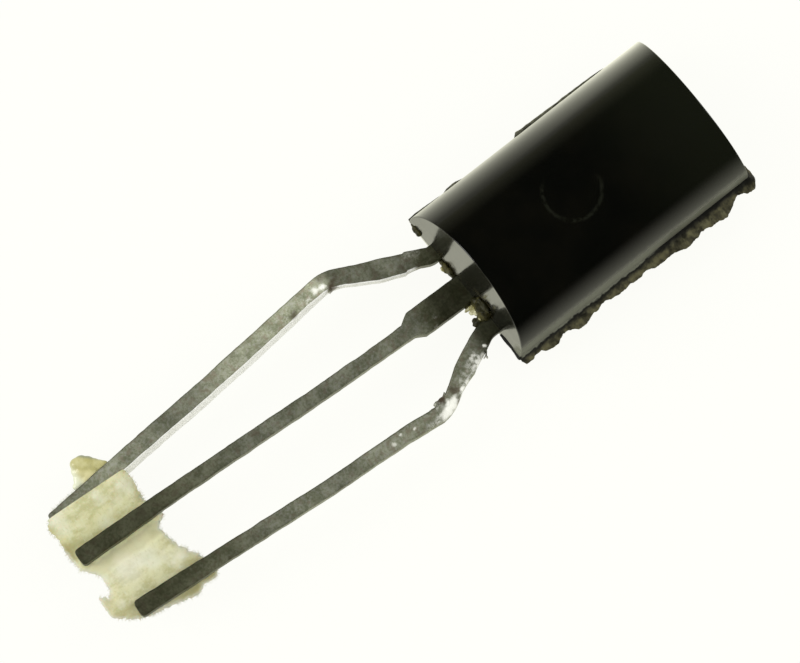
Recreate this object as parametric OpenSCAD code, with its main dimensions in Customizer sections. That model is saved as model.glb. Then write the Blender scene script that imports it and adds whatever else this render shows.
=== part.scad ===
// Long-body TO-92 transistor: a black epoxy moulding on three tinned leads,
// still carrying a torn scrap of the paper tape that it was supplied on.
// It lies on its flat front with the curved back up. X runs across the leads,
// the leads point to -Y, and the origin is the middle of the flat front.
// All sizes are in millimetres.

/* [Moulding] */
// Width of the moulded body across the leads
body_w = 4.9; // [4.8:0.05:5.1]
// Length of the moulded body along the leads
body_l = 8.2; // [7.8:0.1:8.6]
// Depth of the body from its parting line to its flat front
front_d = 1.45; // [1.3:0.05:1.6]
// Width of the flat front, between its two sloping sides
front_w = 4.2; // [3.8:0.1:4.6]
// Draft of the two ends, each way from the parting line, in degrees
end_draft = 7.5; // [3:0.5:10]
// Diameter of the ejector pin's witness ring on the curved back
ejector_d = 1.6; // [1:0.1:2.2]
// Place of the witness ring along the body
ejector_y = -0.4; // [-1.5:0.1:1.5]

/* [Mould flash] */
// Thickness of the flash along the parting line
flash_t = 0.08; // [0.05:0.01:0.14]
// Reach of the flash, as a share of the reach it has on a worn mould
flash_share = 1; // [0.5:0.05:1.2]

/* [Leads] */
// Distance between neighbouring leads where they leave the body
lead_pitch = 1.27; // [1.22:0.01:1.32]
// Width of the legs below the tie bar
lead_w = 0.5; // [0.42:0.02:0.56]
// Thickness of the lead frame strip
lead_t = 0.4; // [0.34:0.02:0.46]
// Width of the centre lead between the body and the tie bar
centre_root_w = 0.85; // [0.7:0.05:0.95]
// Width of the outer leads between the body and the tie bar
outer_root_w = 0.54; // [0.5:0.02:0.6]
// Length of the leads, from the body to their cut tips
lead_l = 12.9; // [12.4:0.1:13.4]

/* [Lead forming] */
// How far the base lead's knee stands out sideways from its exit
base_knee_out = 1.28; // [1.1:0.02:1.4]
// How far the base lead's knee is from the body
base_knee_down = 2.8; // [2.6:0.05:3]
// How far the emitter lead's knee stands out sideways from its exit
emitter_knee_out = 1.05; // [0.9:0.05:1.2]
// How far the emitter lead's knee is from the body
emitter_knee_down = 2.5; // [2.3:0.05:2.7]
// Roll of the base lead's leg about its own length, in degrees
base_roll = 16; // [0:1:24]
// Fall of the base lead's leg from its knee to its tip
base_fall = 0.56; // [0.5:0.01:0.6]

/* [Die and wires] */
// Side of the square silicon die
die_w = 1.1; // [0.7:0.05:1.3]
// Thickness of the silicon die
die_t = 0.22; // [0.15:0.01:0.3]
// Thickness of the solder under the die
solder_t = 0.03; // [0.02:0.005:0.06]
// Diameter of the bond wires
wire_d = 0.05; // [0.04:0.005:0.08]
// Height of the bond wires' loops above the die
wire_rise = 0.6; // [0.4:0.05:0.9]

/* [Tape scrap] */
// Thickness of the tape's paper
paper_t = 0.18; // [0.12:0.01:0.24]

/* [Hidden] */

EPOXY = [0.07, 0.07, 0.065];
TIN = [0.5, 0.5, 0.46];
SILICON = [0.32, 0.34, 0.4];
SOLDER = [0.6, 0.6, 0.6];
GOLD = [0.85, 0.65, 0.25];
PAPER = [0.83, 0.81, 0.68];
GLUE = [0.75, 0.68, 0.42];

// Moulding
back_r = body_w / 2;
body_h = front_d + back_r;
half_l = body_l / 2;
ring_w = 0.04;
ring_depth = 0.02;
outside = 1;                       // room that a cutting tool has beyond what it cuts

// Lead frame: the strip's middle lies on the parting line
strip_z = front_d;
strip_top = strip_z + lead_t / 2;
exit_y = -half_l;
neck_y = exit_y - 0.1;             // the leads are straight up to here
lock_y = exit_y + 0.4;             // inside the epoxy, the leads narrow here to lock in it
tip_y = exit_y - lead_l;
tie_bar_y = exit_y - 1.7;          // where the tie bar was cut from the centre lead
base_slant = 0.6;                  // sideways run of a leg, from its knee to its tip
emitter_slant = 0.91;
collector_slant = 0.64;

// Inside of the lead frame
post_gap = 0.3;
post_near_y = exit_y + 0.8;
post_far_y = exit_y + 2.2;
post_w = 1.35;
pad_w = 2.4;
pad_near_y = post_far_y + post_gap;
pad_far_y = 1.5;
throat_w = 0.6;                    // the centre lead between the two posts
waist_cut = 0.12;                  // how much narrower an outer lead is at its lock, each side
waist_lap = 0.2;                   // how far a waist runs on into its lead

// Die, solder and wires
solder_lip = 0.08;
die_top = strip_top + solder_t + die_t;
die_y = (pad_near_y + pad_far_y) / 2;
bond_x = 0.27 * die_w;
bond_y = die_y - 0.15 * die_w;
post_bond = [lead_pitch, post_far_y - 0.5, strip_top];
wire_sides = 8;

// Tape scrap: it lies under the collector and emitter legs and over the base leg
paper_top = strip_z - lead_t / 2;
paper_low = paper_top - paper_t;
paper_lift = 0.1;                  // how much its base side is raised by the leg below it
tape_shift = -(lead_l - 12.9);     // the scrap stays at the tips of longer or shorter leads

// ---- Points and outlines ----

function mix(a, b, t) = a + (b - a) * t;
function unit(v) = v / norm(v);
function first(path) = path[0];
function last(path) = path[len(path) - 1];
function backwards(path) = [for (i = [len(path) - 1 : -1 : 0]) path[i]];

// A path whose straight stretches are broken into short random steps
function ragged(path, pieces, jag, seed) = let (
    count = (len(path) - 1) * pieces,
    push = rands(-jag, jag, 2 * count, seed))
    concat(
        [for (i = [0 : len(path) - 2]) for (k = [0 : pieces - 1]) let (n = i * pieces + k)
            mix(path[i], path[i + 1], k / pieces)
            + (k == 0 ? [0, 0] : [push[2 * n], push[2 * n + 1]])],
        [last(path)]);

// ---- Formed leads ----
// A lead's route is a list of stations from the body to the tip, each
// [x, y, z, width to the -X side, width to the +X side, roll, ease].
// Ease is how far from a corner its curve starts; 0 keeps the corner sharp.

EASE = 6;
ROLL = 5;
EAST = 4;
WEST = 3;

function place(station) = [station.x, station.y, station.z];
function toward(a, b, d) = mix(a, b, d / norm(place(b) - place(a)));

function eased(route, steps = 6) = concat(
    [first(route)],
    [for (i = [1 : len(route) - 2]) let (
        corner = route[i],
        before = toward(corner, route[i - 1], corner[EASE]),
        after = toward(corner, route[i + 1], corner[EASE]))
        for (s = corner[EASE] > 0 ? [0 : steps] : [0]) let (t = s / steps)
            mix(mix(before, corner, t), mix(corner, after, t), t)],
    [last(route)]);

function heading(route, i) = unit(
    (i > 0 ? unit(place(route[i]) - place(route[i - 1])) : [0, 0, 0])
    + (i < len(route) - 1 ? unit(place(route[i + 1]) - place(route[i])) : [0, 0, 0]));

// The four corners of the strip's section at a station, seen along its heading
function section(station, along) = let (
    level = unit(cross([0, 0, 1], along)),
    plumb = cross(along, level),
    roll = station[ROLL],
    across = level * cos(roll) + plumb * sin(roll),
    up = (plumb * cos(roll) - level * sin(roll)) * lead_t / 2)
    [for (corner = [[-station[WEST], -1], [station[EAST], -1], [station[EAST], 1], [-station[WEST], 1]])
        place(station) + across * corner[0] + up * corner[1]];

// A closed skin over rings that all have the same number of corners
module skin(rings) {
    sides = len(rings[0]);
    count = len(rings);
    polyhedron(
        points = [for (r = rings) for (p = r) p],
        faces = concat(
            [[for (k = [0 : sides - 1]) k]],
            [for (i = [0 : count - 2]) for (k = [0 : sides - 1]) let (
                a = i * sides + k,
                b = i * sides + (k + 1) % sides)
                each [[a, a + sides, b + sides], [a, b + sides, b]]],
            [[for (k = [sides - 1 : -1 : 0]) (count - 1) * sides + k]]));
}

module formed_strip(stations) {
    route = eased(stations);
    skin([for (i = [0 : len(route) - 1]) section(route[i], heading(route, i))]);
}

module stamped(outline) {
    translate([0, 0, strip_z - lead_t / 2]) linear_extrude(lead_t) polygon(outline);
}

// The burr left on a leg's inner edge where the tie bar was sheared off
module tie_bar_burr(at, side) {
    reach = lead_w / 2 + 0.08;
    translate([at.x, at.y, strip_z - 0.4 * lead_t]) linear_extrude(0.8 * lead_t)
        polygon([[0, 0.12], [side * reach, -0.02], [side * (reach - 0.06), -0.1],
                 [side * (reach + 0.02), -0.3], [0, -0.16]]);
}

// ---- Leads ----

// The straight stretch of a lead where it passes through the body's end
module neck(x, half) {
    stamped([[x - half, neck_y], [x + half, neck_y], [x + half, lock_y], [x - half, lock_y]]);
}

// The part of an outer lead that the epoxy hides: a waist and a bonding post
module outer_post(side) {
    waist = outer_root_w / 2 - waist_cut;
    x = lead_pitch * side;
    inner = side * (throat_w / 2 + post_gap);
    outer = inner + side * post_w;
    stamped([[x - side * waist, lock_y - waist_lap], [x - side * waist, post_near_y],
             [inner, post_near_y], [inner, post_far_y], [outer, post_far_y],
             [outer, post_near_y], [x + side * waist, post_near_y],
             [x + side * waist, lock_y - waist_lap]]);
}

// The part of the centre lead that the epoxy hides: a waist and the die's pad
module die_pad() {
    right = [[throat_w / 2, lock_y - waist_lap], [throat_w / 2, pad_near_y],
             [pad_w / 2, pad_near_y], [pad_w / 2, pad_far_y - 0.5], [pad_w / 2 - 0.3, pad_far_y]];
    stamped(concat(right, [for (p = backwards(right)) [-p.x, p.y]]));
}

module collector_lead() {
    root = centre_root_w / 2;
    leg = lead_w / 2;
    color(TIN) {
        die_pad();
        formed_strip([
            [0, lock_y, strip_z, root, root, 0, 0],
            [0, neck_y, strip_z, root, root, 0, 0],
            [-0.04, tie_bar_y, strip_z, root, root, 0, 0],
            [-0.04, tie_bar_y - 0.07, strip_z, root - 0.02, leg + 0.04, 0, 0],
            [-0.05, tie_bar_y - 0.3, strip_z, leg, leg, 0, 0],
            [-0.05 - collector_slant, tip_y - 0.02, strip_z, leg, leg, 0, 0]]);
    }
}

module emitter_lead() {
    root = outer_root_w / 2;
    leg = lead_w / 2;
    knee = [lead_pitch + emitter_knee_out, exit_y - emitter_knee_down];
    bend = [lead_pitch + 0.36, exit_y - 1.2];
    color(TIN) {
        outer_post(1);
        formed_strip([
            [lead_pitch, lock_y, strip_z, root, root, 0, 0],
            [lead_pitch, neck_y - 0.3, strip_z, root, root, 0, 0.15],
            [bend.x, bend.y, strip_z, root, root, 0, 0.25],
            [knee.x, knee.y, strip_z, root - 0.08, root, 0, 0.35],
            [knee.x - 0.22, knee.y - 2.1, strip_z, leg, leg, 0, 0.8],
            [knee.x - 0.3, knee.y - 3.6, strip_z, leg, leg, 0, 0.7],
            [knee.x - emitter_slant, tip_y + 0.38, strip_z, leg, leg, 0, 0]]);
        tie_bar_burr([knee.x - 0.06, knee.y + 0.06], -1);
    }
}

module base_lead() {
    root = outer_root_w / 2;
    leg = lead_w / 2;
    knee = [-lead_pitch - base_knee_out, exit_y - base_knee_down];
    color(TIN) {
        outer_post(-1);
        formed_strip([
            [-lead_pitch, lock_y, strip_z, root, root, 0, 0],
            [-lead_pitch, neck_y - 0.08, strip_z, root, root, 0, 0.06],
            [knee.x, knee.y, strip_z, root, root, 0, 0.4],
            [knee.x + 0.05, knee.y - 0.8, strip_z - 0.04, leg, leg, 0.8 * base_roll, 0.3],
            [knee.x + base_slant, tip_y + 0.06, strip_z - base_fall, leg, leg, 1.2 * base_roll, 0]]);
        tie_bar_burr([knee.x + 0.04, knee.y + 0.14], 1);
    }
}

// ---- Die, solder and bond wires ----

module slab(w, y, z, t) {
    translate([-w / 2, y - w / 2, z]) cube([w, w, t]);
}

module silicon_die() {
    color(SILICON) slab(die_w, die_y, strip_top + solder_t, die_t);
}

module die_solder() {
    color(SOLDER) slab(die_w + 2 * solder_lip, die_y, strip_top, solder_t);
}

// A wire that leaves the die and meets the post square to both
module bond_wire(from, to) {
    steps = 12;
    above_from = from + [0, 0, wire_rise];
    above_to = to + [0, 0, die_top - to.z + wire_rise];
    path = [for (s = [0 : steps]) let (t = s / steps) mix(
        mix(mix(from, above_from, t), mix(above_from, above_to, t), t),
        mix(mix(above_from, above_to, t), mix(above_to, to, t), t), t)];
    sideways = unit(cross([0, 0, 1], to - from));
    function aim(i) = i == 0 ? [0, 0, 1] : i == steps ? [0, 0, -1] : unit(path[i + 1] - path[i - 1]);
    skin([for (i = [0 : steps]) let (across = cross(aim(i), sideways))
        [for (k = [0 : wire_sides - 1]) let (a = 360 * k / wire_sides)
            path[i] + (sideways * cos(a) + across * sin(a)) * wire_d / 2]]);
}

module emitter_bond_wire() {
    color(GOLD) bond_wire([bond_x, bond_y, die_top], post_bond);
}

module base_bond_wire() {
    color(GOLD) bond_wire([-bond_x, bond_y, die_top], [-post_bond.x, post_bond.y, post_bond.z]);
}

// ---- Moulding ----

// The D-shaped section: a half-round back and a front that tapers to the flat
module moulding_section() {
    intersection() {
        translate([0, front_d]) circle(r = back_r, $fn = 96);
        translate([-back_r, front_d]) square([body_w, back_r]);
    }
    polygon([[-back_r, front_d], [back_r, front_d], [front_w / 2, 0], [-front_w / 2, 0]]);
}

// The body seen from its side, drafted each way from the parting line
module drafted_side() {
    top = half_l - back_r * tan(end_draft);
    bottom = half_l - front_d * tan(end_draft);
    polygon([[-bottom, 0], [bottom, 0], [half_l, front_d], [top, body_h],
             [-top, body_h], [-half_l, front_d]]);
}

module moulding() {
    intersection() {
        rotate([90, 0, 0]) linear_extrude(body_l + outside, center = true) moulding_section();
        rotate([90, 0, 90]) linear_extrude(body_w + outside, center = true) drafted_side();
    }
}

// The fine groove that the ejector pin's edge left in the curved back
module ejector_ring() {
    translate([0, ejector_y, front_d]) difference() {
        cylinder(d = ejector_d, h = back_r + outside, $fn = 64);
        cylinder(d = ejector_d - 2 * ring_w, h = back_r + 2 * outside, $fn = 64);
        rotate([90, 0, 0])
            cylinder(r = back_r - ring_depth, h = ejector_d + outside, center = true, $fn = 96);
    }
}

// The flash follows the parting line as a list of [place, reach]. A place is a share of
// half the body's length or width, counted from its middle.
// Flash on the emitter side, with the large piece that is left at the far corner
east_flash = [[-1, 0.06], [-0.98, 0.24], [-0.85, 0.21], [-0.78, 0.33], [-0.71, 0.35],
              [-0.66, 0.25], [-0.55, 0.4], [-0.48, 0.42], [-0.44, 0.3], [-0.33, 0.25],
              [-0.18, 0.35], [0, 0.33], [0.07, 0.27], [0.12, 0.38], [0.29, 0.36], [0.37, 0.46],
              [0.45, 0.48], [0.52, 0.38], [0.66, 0.49], [0.73, 0.5], [0.78, 0.36], [0.87, 0.22],
              [0.93, 0.26], [0.98, 0.42], [1.02, 0.22]];
// Flash across the far end
far_flash = [[1.02, 0.2], [0.92, 0.17], [0.84, 0.08], [0.5, 0.05], [0.1, 0.06], [-0.4, 0.04],
             [-0.7, 0.05], [-0.98, 0.02]];
// Flash on the base side, broken off short
west_flash = [[0.68, 0.02], [0.56, 0.06], [0.41, 0.07], [0.24, 0.1], [0.07, 0.08],
              [-0.05, 0.07], [-0.15, 0.02], [-0.49, 0.02], [-0.58, 0.05], [-0.68, 0.03],
              [-0.8, 0.02], [-0.93, 0.05], [-1, 0.03]];
// Resin that bled out between two leads, as [distance from the centre lead's middle, reach]
bleed = [[1.05, 0.05], [0.85, 0.1], [0.6, 0.07], [0.45, 0.04]];

module flash() {
    root = 0.1;                    // how far the flash is rooted in the moulding
    edge = concat(
        [for (f = east_flash) [back_r + f[1] * flash_share, f[0] * half_l]],
        [for (f = far_flash) [f[0] * back_r, half_l + f[1] * flash_share]],
        [for (f = west_flash) [-back_r - f[1] * flash_share, f[0] * half_l]]);
    inner = [[-back_r + root, -half_l + root], [-back_r + root, half_l - root],
             [back_r - root, half_l - root], [back_r - root, -half_l + root]];
    translate([0, 0, front_d - flash_t / 2]) linear_extrude(flash_t)
        polygon(concat(ragged(edge, 2, 0.015, 7), inner));
}

// Thin resin between the centre lead and an outer one, against the drafted end
module bled_resin(side) {
    root_y = exit_y + 0.2;
    translate([0, 0, strip_z - 0.6 * lead_t]) linear_extrude(lead_t)
        polygon(concat(
            [for (b = bleed) [side * b[0], exit_y - b[1]]],
            [[side * last(bleed)[0], root_y], [side * first(bleed)[0], root_y]]));
}

module epoxy_body() {
    color(EPOXY) difference() {
        union() {
            moulding();
            flash();
            bled_resin(1);
            bled_resin(-1);
        }
        ejector_ring();
        neck(0, centre_root_w / 2);
        neck(lead_pitch, outer_root_w / 2);
        neck(-lead_pitch, outer_root_w / 2);
        die_pad();
        outer_post(1);
        outer_post(-1);
        silicon_die();
        die_solder();
        emitter_bond_wire();
        base_bond_wire();
    }
}

// ---- Tape scrap ----

// The torn outline, from the cut edge round by the emitter lead and back
torn_edge = [[-1.92, -14.5], [-1.25, -14.56], [-0.9, -14.6], [-0.3, -14.45], [-0.05, -14.78],
             [0.5, -14.7], [0.95, -14.5], [1.35, -14.32], [1.88, -14.23], [1.98, -14.38],
             [1.96, -14.75], [2.09, -14.96], [1.92, -15.66], [1.73, -16.33], [1.48, -16.9], [1.1, -17.32],
             [0.8, -17.32], [0.45, -17.28], [0.62, -17.05], [0.45, -16.88], [0, -16.85],
             [-0.45, -17.15], [-0.95, -17.22], [-1.45, -17.15], [-1.9, -17.2], [-2.12, -17.05]];

module tape_paper() {
    east = 2.6;
    west = -2.6;
    // the paper seen along the leads: level, then a step up over the base leg
    low = [[east, paper_low], [-1.05, paper_low], [-1.7, paper_low + paper_lift],
           [west, paper_low + paper_lift]];
    color(PAPER) difference() {
        intersection() {
            translate([0, tip_y + outside + 2, 0]) rotate([90, 0, 0]) linear_extrude(4 + outside)
                polygon(concat(low, [for (p = backwards(low)) p + [0, paper_t]]));
            translate([0, tape_shift, 0]) linear_extrude(body_h)
                polygon(ragged(torn_edge, 3, 0.025, 11));
        }
        base_lead();
    }
}

// A bead of the tape's glue on the outer side of the base leg
module tape_glue() {
    color(GLUE) difference() {
        translate([0, tape_shift, 0]) hull() for (lobe = [[-2.84, -15.3, 0.96, 0.27],
                                                          [-2.6, -15.02, 0.98, 0.24],
                                                          [-2.42, -15.26, 0.94, 0.24]])
            translate([lobe[0], lobe[1], lobe[2]]) scale([1, 1, 0.7]) sphere(r = lobe[3], $fn = 20);
        base_lead();
        tape_paper();
    }
}

epoxy_body();
collector_lead();
emitter_lead();
base_lead();
silicon_die();
die_solder();
emitter_bond_wire();
base_bond_wire();
tape_paper();
tape_glue();
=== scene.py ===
import math
import random

import bmesh
import bpy
import numpy as np
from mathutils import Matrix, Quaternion, Vector, geometry, noise


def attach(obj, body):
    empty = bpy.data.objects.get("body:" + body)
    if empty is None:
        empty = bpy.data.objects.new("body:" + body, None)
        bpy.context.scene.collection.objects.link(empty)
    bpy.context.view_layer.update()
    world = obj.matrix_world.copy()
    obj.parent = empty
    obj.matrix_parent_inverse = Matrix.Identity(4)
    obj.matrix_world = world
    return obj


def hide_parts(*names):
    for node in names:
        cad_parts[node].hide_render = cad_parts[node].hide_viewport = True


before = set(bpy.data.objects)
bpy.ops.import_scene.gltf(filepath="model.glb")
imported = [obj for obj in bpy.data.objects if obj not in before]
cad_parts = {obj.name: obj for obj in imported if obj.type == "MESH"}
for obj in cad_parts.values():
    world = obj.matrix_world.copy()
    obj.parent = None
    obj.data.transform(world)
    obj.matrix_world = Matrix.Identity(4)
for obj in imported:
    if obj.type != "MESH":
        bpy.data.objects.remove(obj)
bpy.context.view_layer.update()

# ---- The bench, the camera and the light ----
# The part lies on a plain white sheet under a dark ceiling. Soft light comes low from the
# leads' end and from behind the far end. Where the part's gloss mirrors the sheet, the sheet
# shows a painted glow, graded by place, that shines into the part's sides.

MM = 0.001                          # shapes are worked out in millimetres and made in metres


def mesh_object(name, points, faces):
    """An object at the origin, whose points are given in millimetres."""
    mesh = bpy.data.meshes.new(name)
    mesh.from_pydata([tuple(float(c) * MM for c in p) for p in points], [], faces)
    mesh.update()
    shape = bpy.data.objects.new(name, mesh)
    bpy.context.scene.collection.objects.link(shape)
    return shape


def feed(socket, value):
    """A value for a socket: a number, a colour, or another node's output."""
    if isinstance(value, bpy.types.NodeSocket):
        socket.id_data.links.new(value, socket)
    else:
        socket.default_value = value


def node(kind, inputs=(), tree=None, **settings):
    """A new node, in the tree that its inputs come from unless one is given."""
    inputs = dict(inputs)
    if tree is None:
        tree = next(v.id_data for v in inputs.values() if isinstance(v, bpy.types.NodeSocket))
    made = tree.nodes.new(kind)
    for key, value in settings.items():
        setattr(made, key, value)
    for key, value in inputs.items():
        feed(made.inputs[key], value)
    return made


def reckon(operation, a, b=0.0):
    """A number worked out from one or two others."""
    return node("ShaderNodeMath", {0: a, 1: b}, operation=operation).outputs[0]


def times(first, *others):
    for other in others:
        first = reckon("MULTIPLY", first, other)
    return first


def plus(a, b):
    return reckon("ADD", a, b)


def minus(a, b):
    return reckon("SUBTRACT", a, b)


def between(share, first, second):
    """The first number where share is 0, the second where it is 1."""
    return plus(times(share, second), times(minus(1.0, share), first))


def ramp(value, start, end, low=0.0, high=1.0):
    """Goes smoothly from low to high as value goes from start to end."""
    return node("ShaderNodeMapRange", {"Value": value, "From Min": start, "From Max": end,
                                       "To Min": low, "To Max": high},
                interpolation_type="SMOOTHSTEP").outputs["Result"]


def mixed(share, first, second, blend="MIX"):
    """Two colours mixed: the first where share is 0, the second where it is 1."""
    return node("ShaderNodeMix", {0: share, 6: first, 7: second}, data_type="RGBA",
                blend_type=blend).outputs[2]


def mix_shaders(share, first, second):
    return node("ShaderNodeMixShader", {0: share, 1: first, 2: second}).outputs[0]


def place_in_mm(tree):
    """Where a point is on the piece that is painted, in millimetres."""
    place = node("ShaderNodeTexCoord", tree=tree).outputs["Object"]
    return node("ShaderNodeVectorMath", {0: place, "Scale": 1 / MM}, operation="SCALE").outputs[0]


def axes(spot):
    return node("ShaderNodeSeparateXYZ", {0: spot}).outputs


def distance_from(spot, place):
    return node("ShaderNodeVectorMath", {0: spot, 1: place},
                operation="DISTANCE").outputs["Value"]


def fading(strength, away, fade, power):
    """A glow that has halved at the distance fade."""
    share = reckon("POWER", reckon("DIVIDE", away, fade), power)
    return reckon("DIVIDE", strength, plus(1.0, share))


def in_view(ray):
    """1 for what the camera sees, straight or through something clear."""
    return reckon("MAXIMUM", ray["Is Camera Ray"], ray["Is Transmission Ray"])


scene = bpy.context.scene
scene.view_settings.view_transform = "Standard"

SHEET_REACH = 2500                  # half the side of the white sheet, in mm
SHEET_WHITE = (0.95, 0.95, 0.91, 1)
SHEET_SHOWN = (1.0, 1.0, 0.955, 1)
SHEET_GLOW = 0.94                   # share of the sheet's look that no shadow takes away
SHINE_TINT = (1.0, 1.0, 0.81, 1)
BODY_SIDE = 2.45                    # where the moulding's sides stand, from its middle, in mm
WEST_SHINE = 1.2                    # how bright the sheet shines into the moulding's -X side
WEST_FADE = 7.0                     # and how far away that has halved, in mm
WEST_FAR = 0.18                     # the least it shines, far away
BACK_GAIN = 1.4                     # how much more it shines beside the far end
BACK_START, BACK_END = 0.5, 4.5     # between which y it comes to that
EAST_SHINE = 0.40                   # the same beside the +X side
EAST_FADE = 6.5
FRONT_SHINE = 0.82                  # the same before the end that the leads come from
FRONT_FADE = 16.0
FRONT_MIDDLE = (-0.5, -10.0, 0.0)   # where it is brightest there
FRONT_START, FRONT_FULL = -3.9, -4.2
CONTACT = 1.6                       # how far the painted shade of the moulding reaches in that glow, in mm
CONTACT_START = -0.3
CONTACT_SHADE = 0.66

sheet = mesh_object("sheet", [(-SHEET_REACH, -SHEET_REACH, 0), (SHEET_REACH, -SHEET_REACH, 0),
                              (SHEET_REACH, SHEET_REACH, 0), (-SHEET_REACH, SHEET_REACH, 0)],
                    [(0, 1, 2, 3)])
paint = bpy.data.materials.new("white_sheet")
paint.use_nodes = True
paint.cycles.emission_sampling = "NONE"
tree = paint.node_tree
tree.nodes.clear()
ray = node("ShaderNodeLightPath", tree=tree).outputs
place = place_in_mm(tree)
at = axes(place)
west_of = reckon("MAXIMUM", minus(-BODY_SIDE, at["X"]), 0.0)
east_of = reckon("MAXIMUM", minus(at["X"], BODY_SIDE), 0.0)
west_part = times(ramp(west_of, CONTACT_START, CONTACT, CONTACT_SHADE, 1.0),
                  fading(WEST_SHINE, west_of, WEST_FADE, 1.0))
west_part = times(reckon("MAXIMUM", west_part, WEST_FAR),
                  ramp(at["Y"], BACK_START, BACK_END, 1.0, BACK_GAIN))
east_part = fading(EAST_SHINE, east_of, EAST_FADE, 2.0)
side_shine = between(ramp(at["X"], -BODY_SIDE, BODY_SIDE), west_part, east_part)
front_shine = fading(FRONT_SHINE, distance_from(place, FRONT_MIDDLE), FRONT_FADE, 3.0)
shine = between(ramp(at["Y"], FRONT_START, FRONT_FULL), side_shine, front_shine)
matt = node("ShaderNodeBsdfDiffuse", {"Color": SHEET_WHITE}, tree).outputs[0]
glow = node("ShaderNodeEmission", {"Color": SHEET_SHOWN}, tree).outputs[0]
# A painted reflection: glossy rays see this graded glow instead of the sheet, with painted shade
# close to the moulding.
mirrored = node("ShaderNodeEmission", {"Color": SHINE_TINT, "Strength": shine}).outputs[0]
look = mix_shaders(in_view(ray), matt, mix_shaders(SHEET_GLOW, matt, glow))
look = mix_shaders(ray["Is Glossy Ray"], look, mirrored)
node("ShaderNodeOutputMaterial", {"Surface": look})
sheet.data.materials.append(paint)

# The room is white behind everything that is seen, soft and even where it lights the part,
# and a dark ceiling where a glossy surface mirrors it.
ROOM_LIGHT = (0.85, 0.85, 0.84, 1)
ROOM_DARK = (0.012, 0.013, 0.009, 1)
ROOM_GLOW = (0.18, 0.18, 0.12, 1)   # low down on the -X side only
GLOW_TOP = 0.42                     # the sine of the angle that it rises to
GLOW_SIDE = -0.5                    # how far round to -X it is full

room = bpy.data.worlds.new("room")
room.use_nodes = True
room.cycles.sampling_method = "NONE"
scene.world = room
tree = room.node_tree
tree.nodes.clear()
ray = node("ShaderNodeLightPath", tree=tree).outputs
aim = axes(node("ShaderNodeTexCoord", tree=tree).outputs["Generated"])
low = node("ShaderNodeMapRange", {"Value": aim["Z"], "From Min": GLOW_TOP, "From Max": 0.0})
low_west = times(low.outputs["Result"], ramp(aim["X"], 0.0, GLOW_SIDE))
ceiling = mixed(low_west, ROOM_DARK, ROOM_GLOW)
lit = mixed(ray["Is Glossy Ray"], ROOM_LIGHT, ceiling)
backdrop = node("ShaderNodeBackground", {"Color": mixed(in_view(ray), lit, SHEET_SHOWN)})
node("ShaderNodeOutputWorld", {"Surface": backdrop.outputs[0]})

LAMP_DISTANCE = 400                 # from the middle of the part to each softbox, in mm
LAMP_SIDE = 200


def soft_lamp(name, direction, power):
    """A square softbox that faces the part."""
    light = bpy.data.lights.new(name, "AREA")
    light.shape = "SQUARE"
    light.size = LAMP_SIDE * MM
    light.energy = power
    lamp = bpy.data.objects.new(name, light)
    scene.collection.objects.link(lamp)
    out = Vector(direction).normalized()
    lamp.location = out * LAMP_DISTANCE * MM
    lamp.rotation_mode = "QUATERNION"
    lamp.rotation_quaternion = out.to_track_quat("Z", "Y")


soft_lamp("front_lamp", (-0.45, -0.65, 0.62), 0.55)
soft_lamp("back_lamp", (0.25, 0.80, 0.55), 0.30)

CAMERA_PLACE = (12.193, -18.766, 99.752)
CAMERA_TARGET = (-0.176, -6.230, 1.450)
CAMERA_TILT = 6.835                 # turn about its own axis, in degrees
CAMERA_LENS = 162.83
CAMERA_FILM = 36                    # width of its sensor, in mm
camera = bpy.data.objects.new("camera", bpy.data.cameras.new("camera"))
scene.collection.objects.link(camera)
camera.data.lens = CAMERA_LENS
camera.data.sensor_width = CAMERA_FILM
camera.data.clip_start = 0.01
camera.location = Vector(CAMERA_PLACE) * MM
camera.rotation_mode = "QUATERNION"
camera.rotation_quaternion = (
    (Vector(CAMERA_TARGET) - Vector(CAMERA_PLACE)).to_track_quat("-Z", "Y")
    @ Quaternion((0, 0, 1), math.radians(CAMERA_TILT)))
scene.camera = camera

# ---- The leads ----
# Three strips stamped from one tinned frame, 0.4 mm thick. The tie bar between them was
# sheared off and the outer two were formed outwards. The tin has dulled to a mottled grey.

STRIP = 0.4                         # the strip's thickness
PITCH = 1.27                        # between two leads where they leave the moulding
LOCK_Y = -3.7                       # inside the epoxy, where the leads narrow to lock in it
LAP = 0.2                           # how far a strip laps its pad or post in there
SWEEP_STEP = 0.06                   # about how far apart a strip's sections are
EASE_STEPS = 6                      # steps in the curve that eases a corner
SMALL_ARRIS = 0.055                 # rounding of the upper arris to -X, and of the lower ones
UNDER_ARRIS = 0.02
TIP_ROUND = 0.11                    # how far the corners of a lead's tip are worn round
SHARP_ANGLE = math.radians(50)      # folds steeper than this stay sharp

# A lead's stations, each [x, y, z, width to -X, width to +X, roll, ease, arris to +X]
COLLECTOR = [(0, LOCK_Y, 1.45, 0.425, 0.425, 0, 0, 0.06),
             (0, -4.2, 1.45, 0.425, 0.425, 0, 0, 0.06),
             (-0.04, -5.72, 1.45, 0.425, 0.425, 0, 0, 0.08),
             (-0.04, -5.80, 1.45, 0.42, 0.375, 0, 0, 0.08),
             (-0.04, -6.0, 1.45, 0.31, 0.25, 0, 0, 0.06),
             (-0.04, -6.12, 1.45, 0.235, 0.235, 0, 0, 0.06),
             (-0.05, -6.7, 1.45, 0.22, 0.22, 0, 0, 0.06),
             (-0.19, -9.2, 1.45, 0.22, 0.22, 0, 0.6, 0.06),
             (-0.335, -11.2, 1.45, 0.22, 0.22, 0, 0, 0.06),
             (-0.54, -14.1, 1.45, 0.225, 0.225, 0, 0.5, 0.06),
             (-0.59, -15.2, 1.45, 0.245, 0.245, 0, 0.4, 0.06),
             (-0.69, -17.02, 1.45, 0.25, 0.25, 0, 0, 0.06)]
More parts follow.
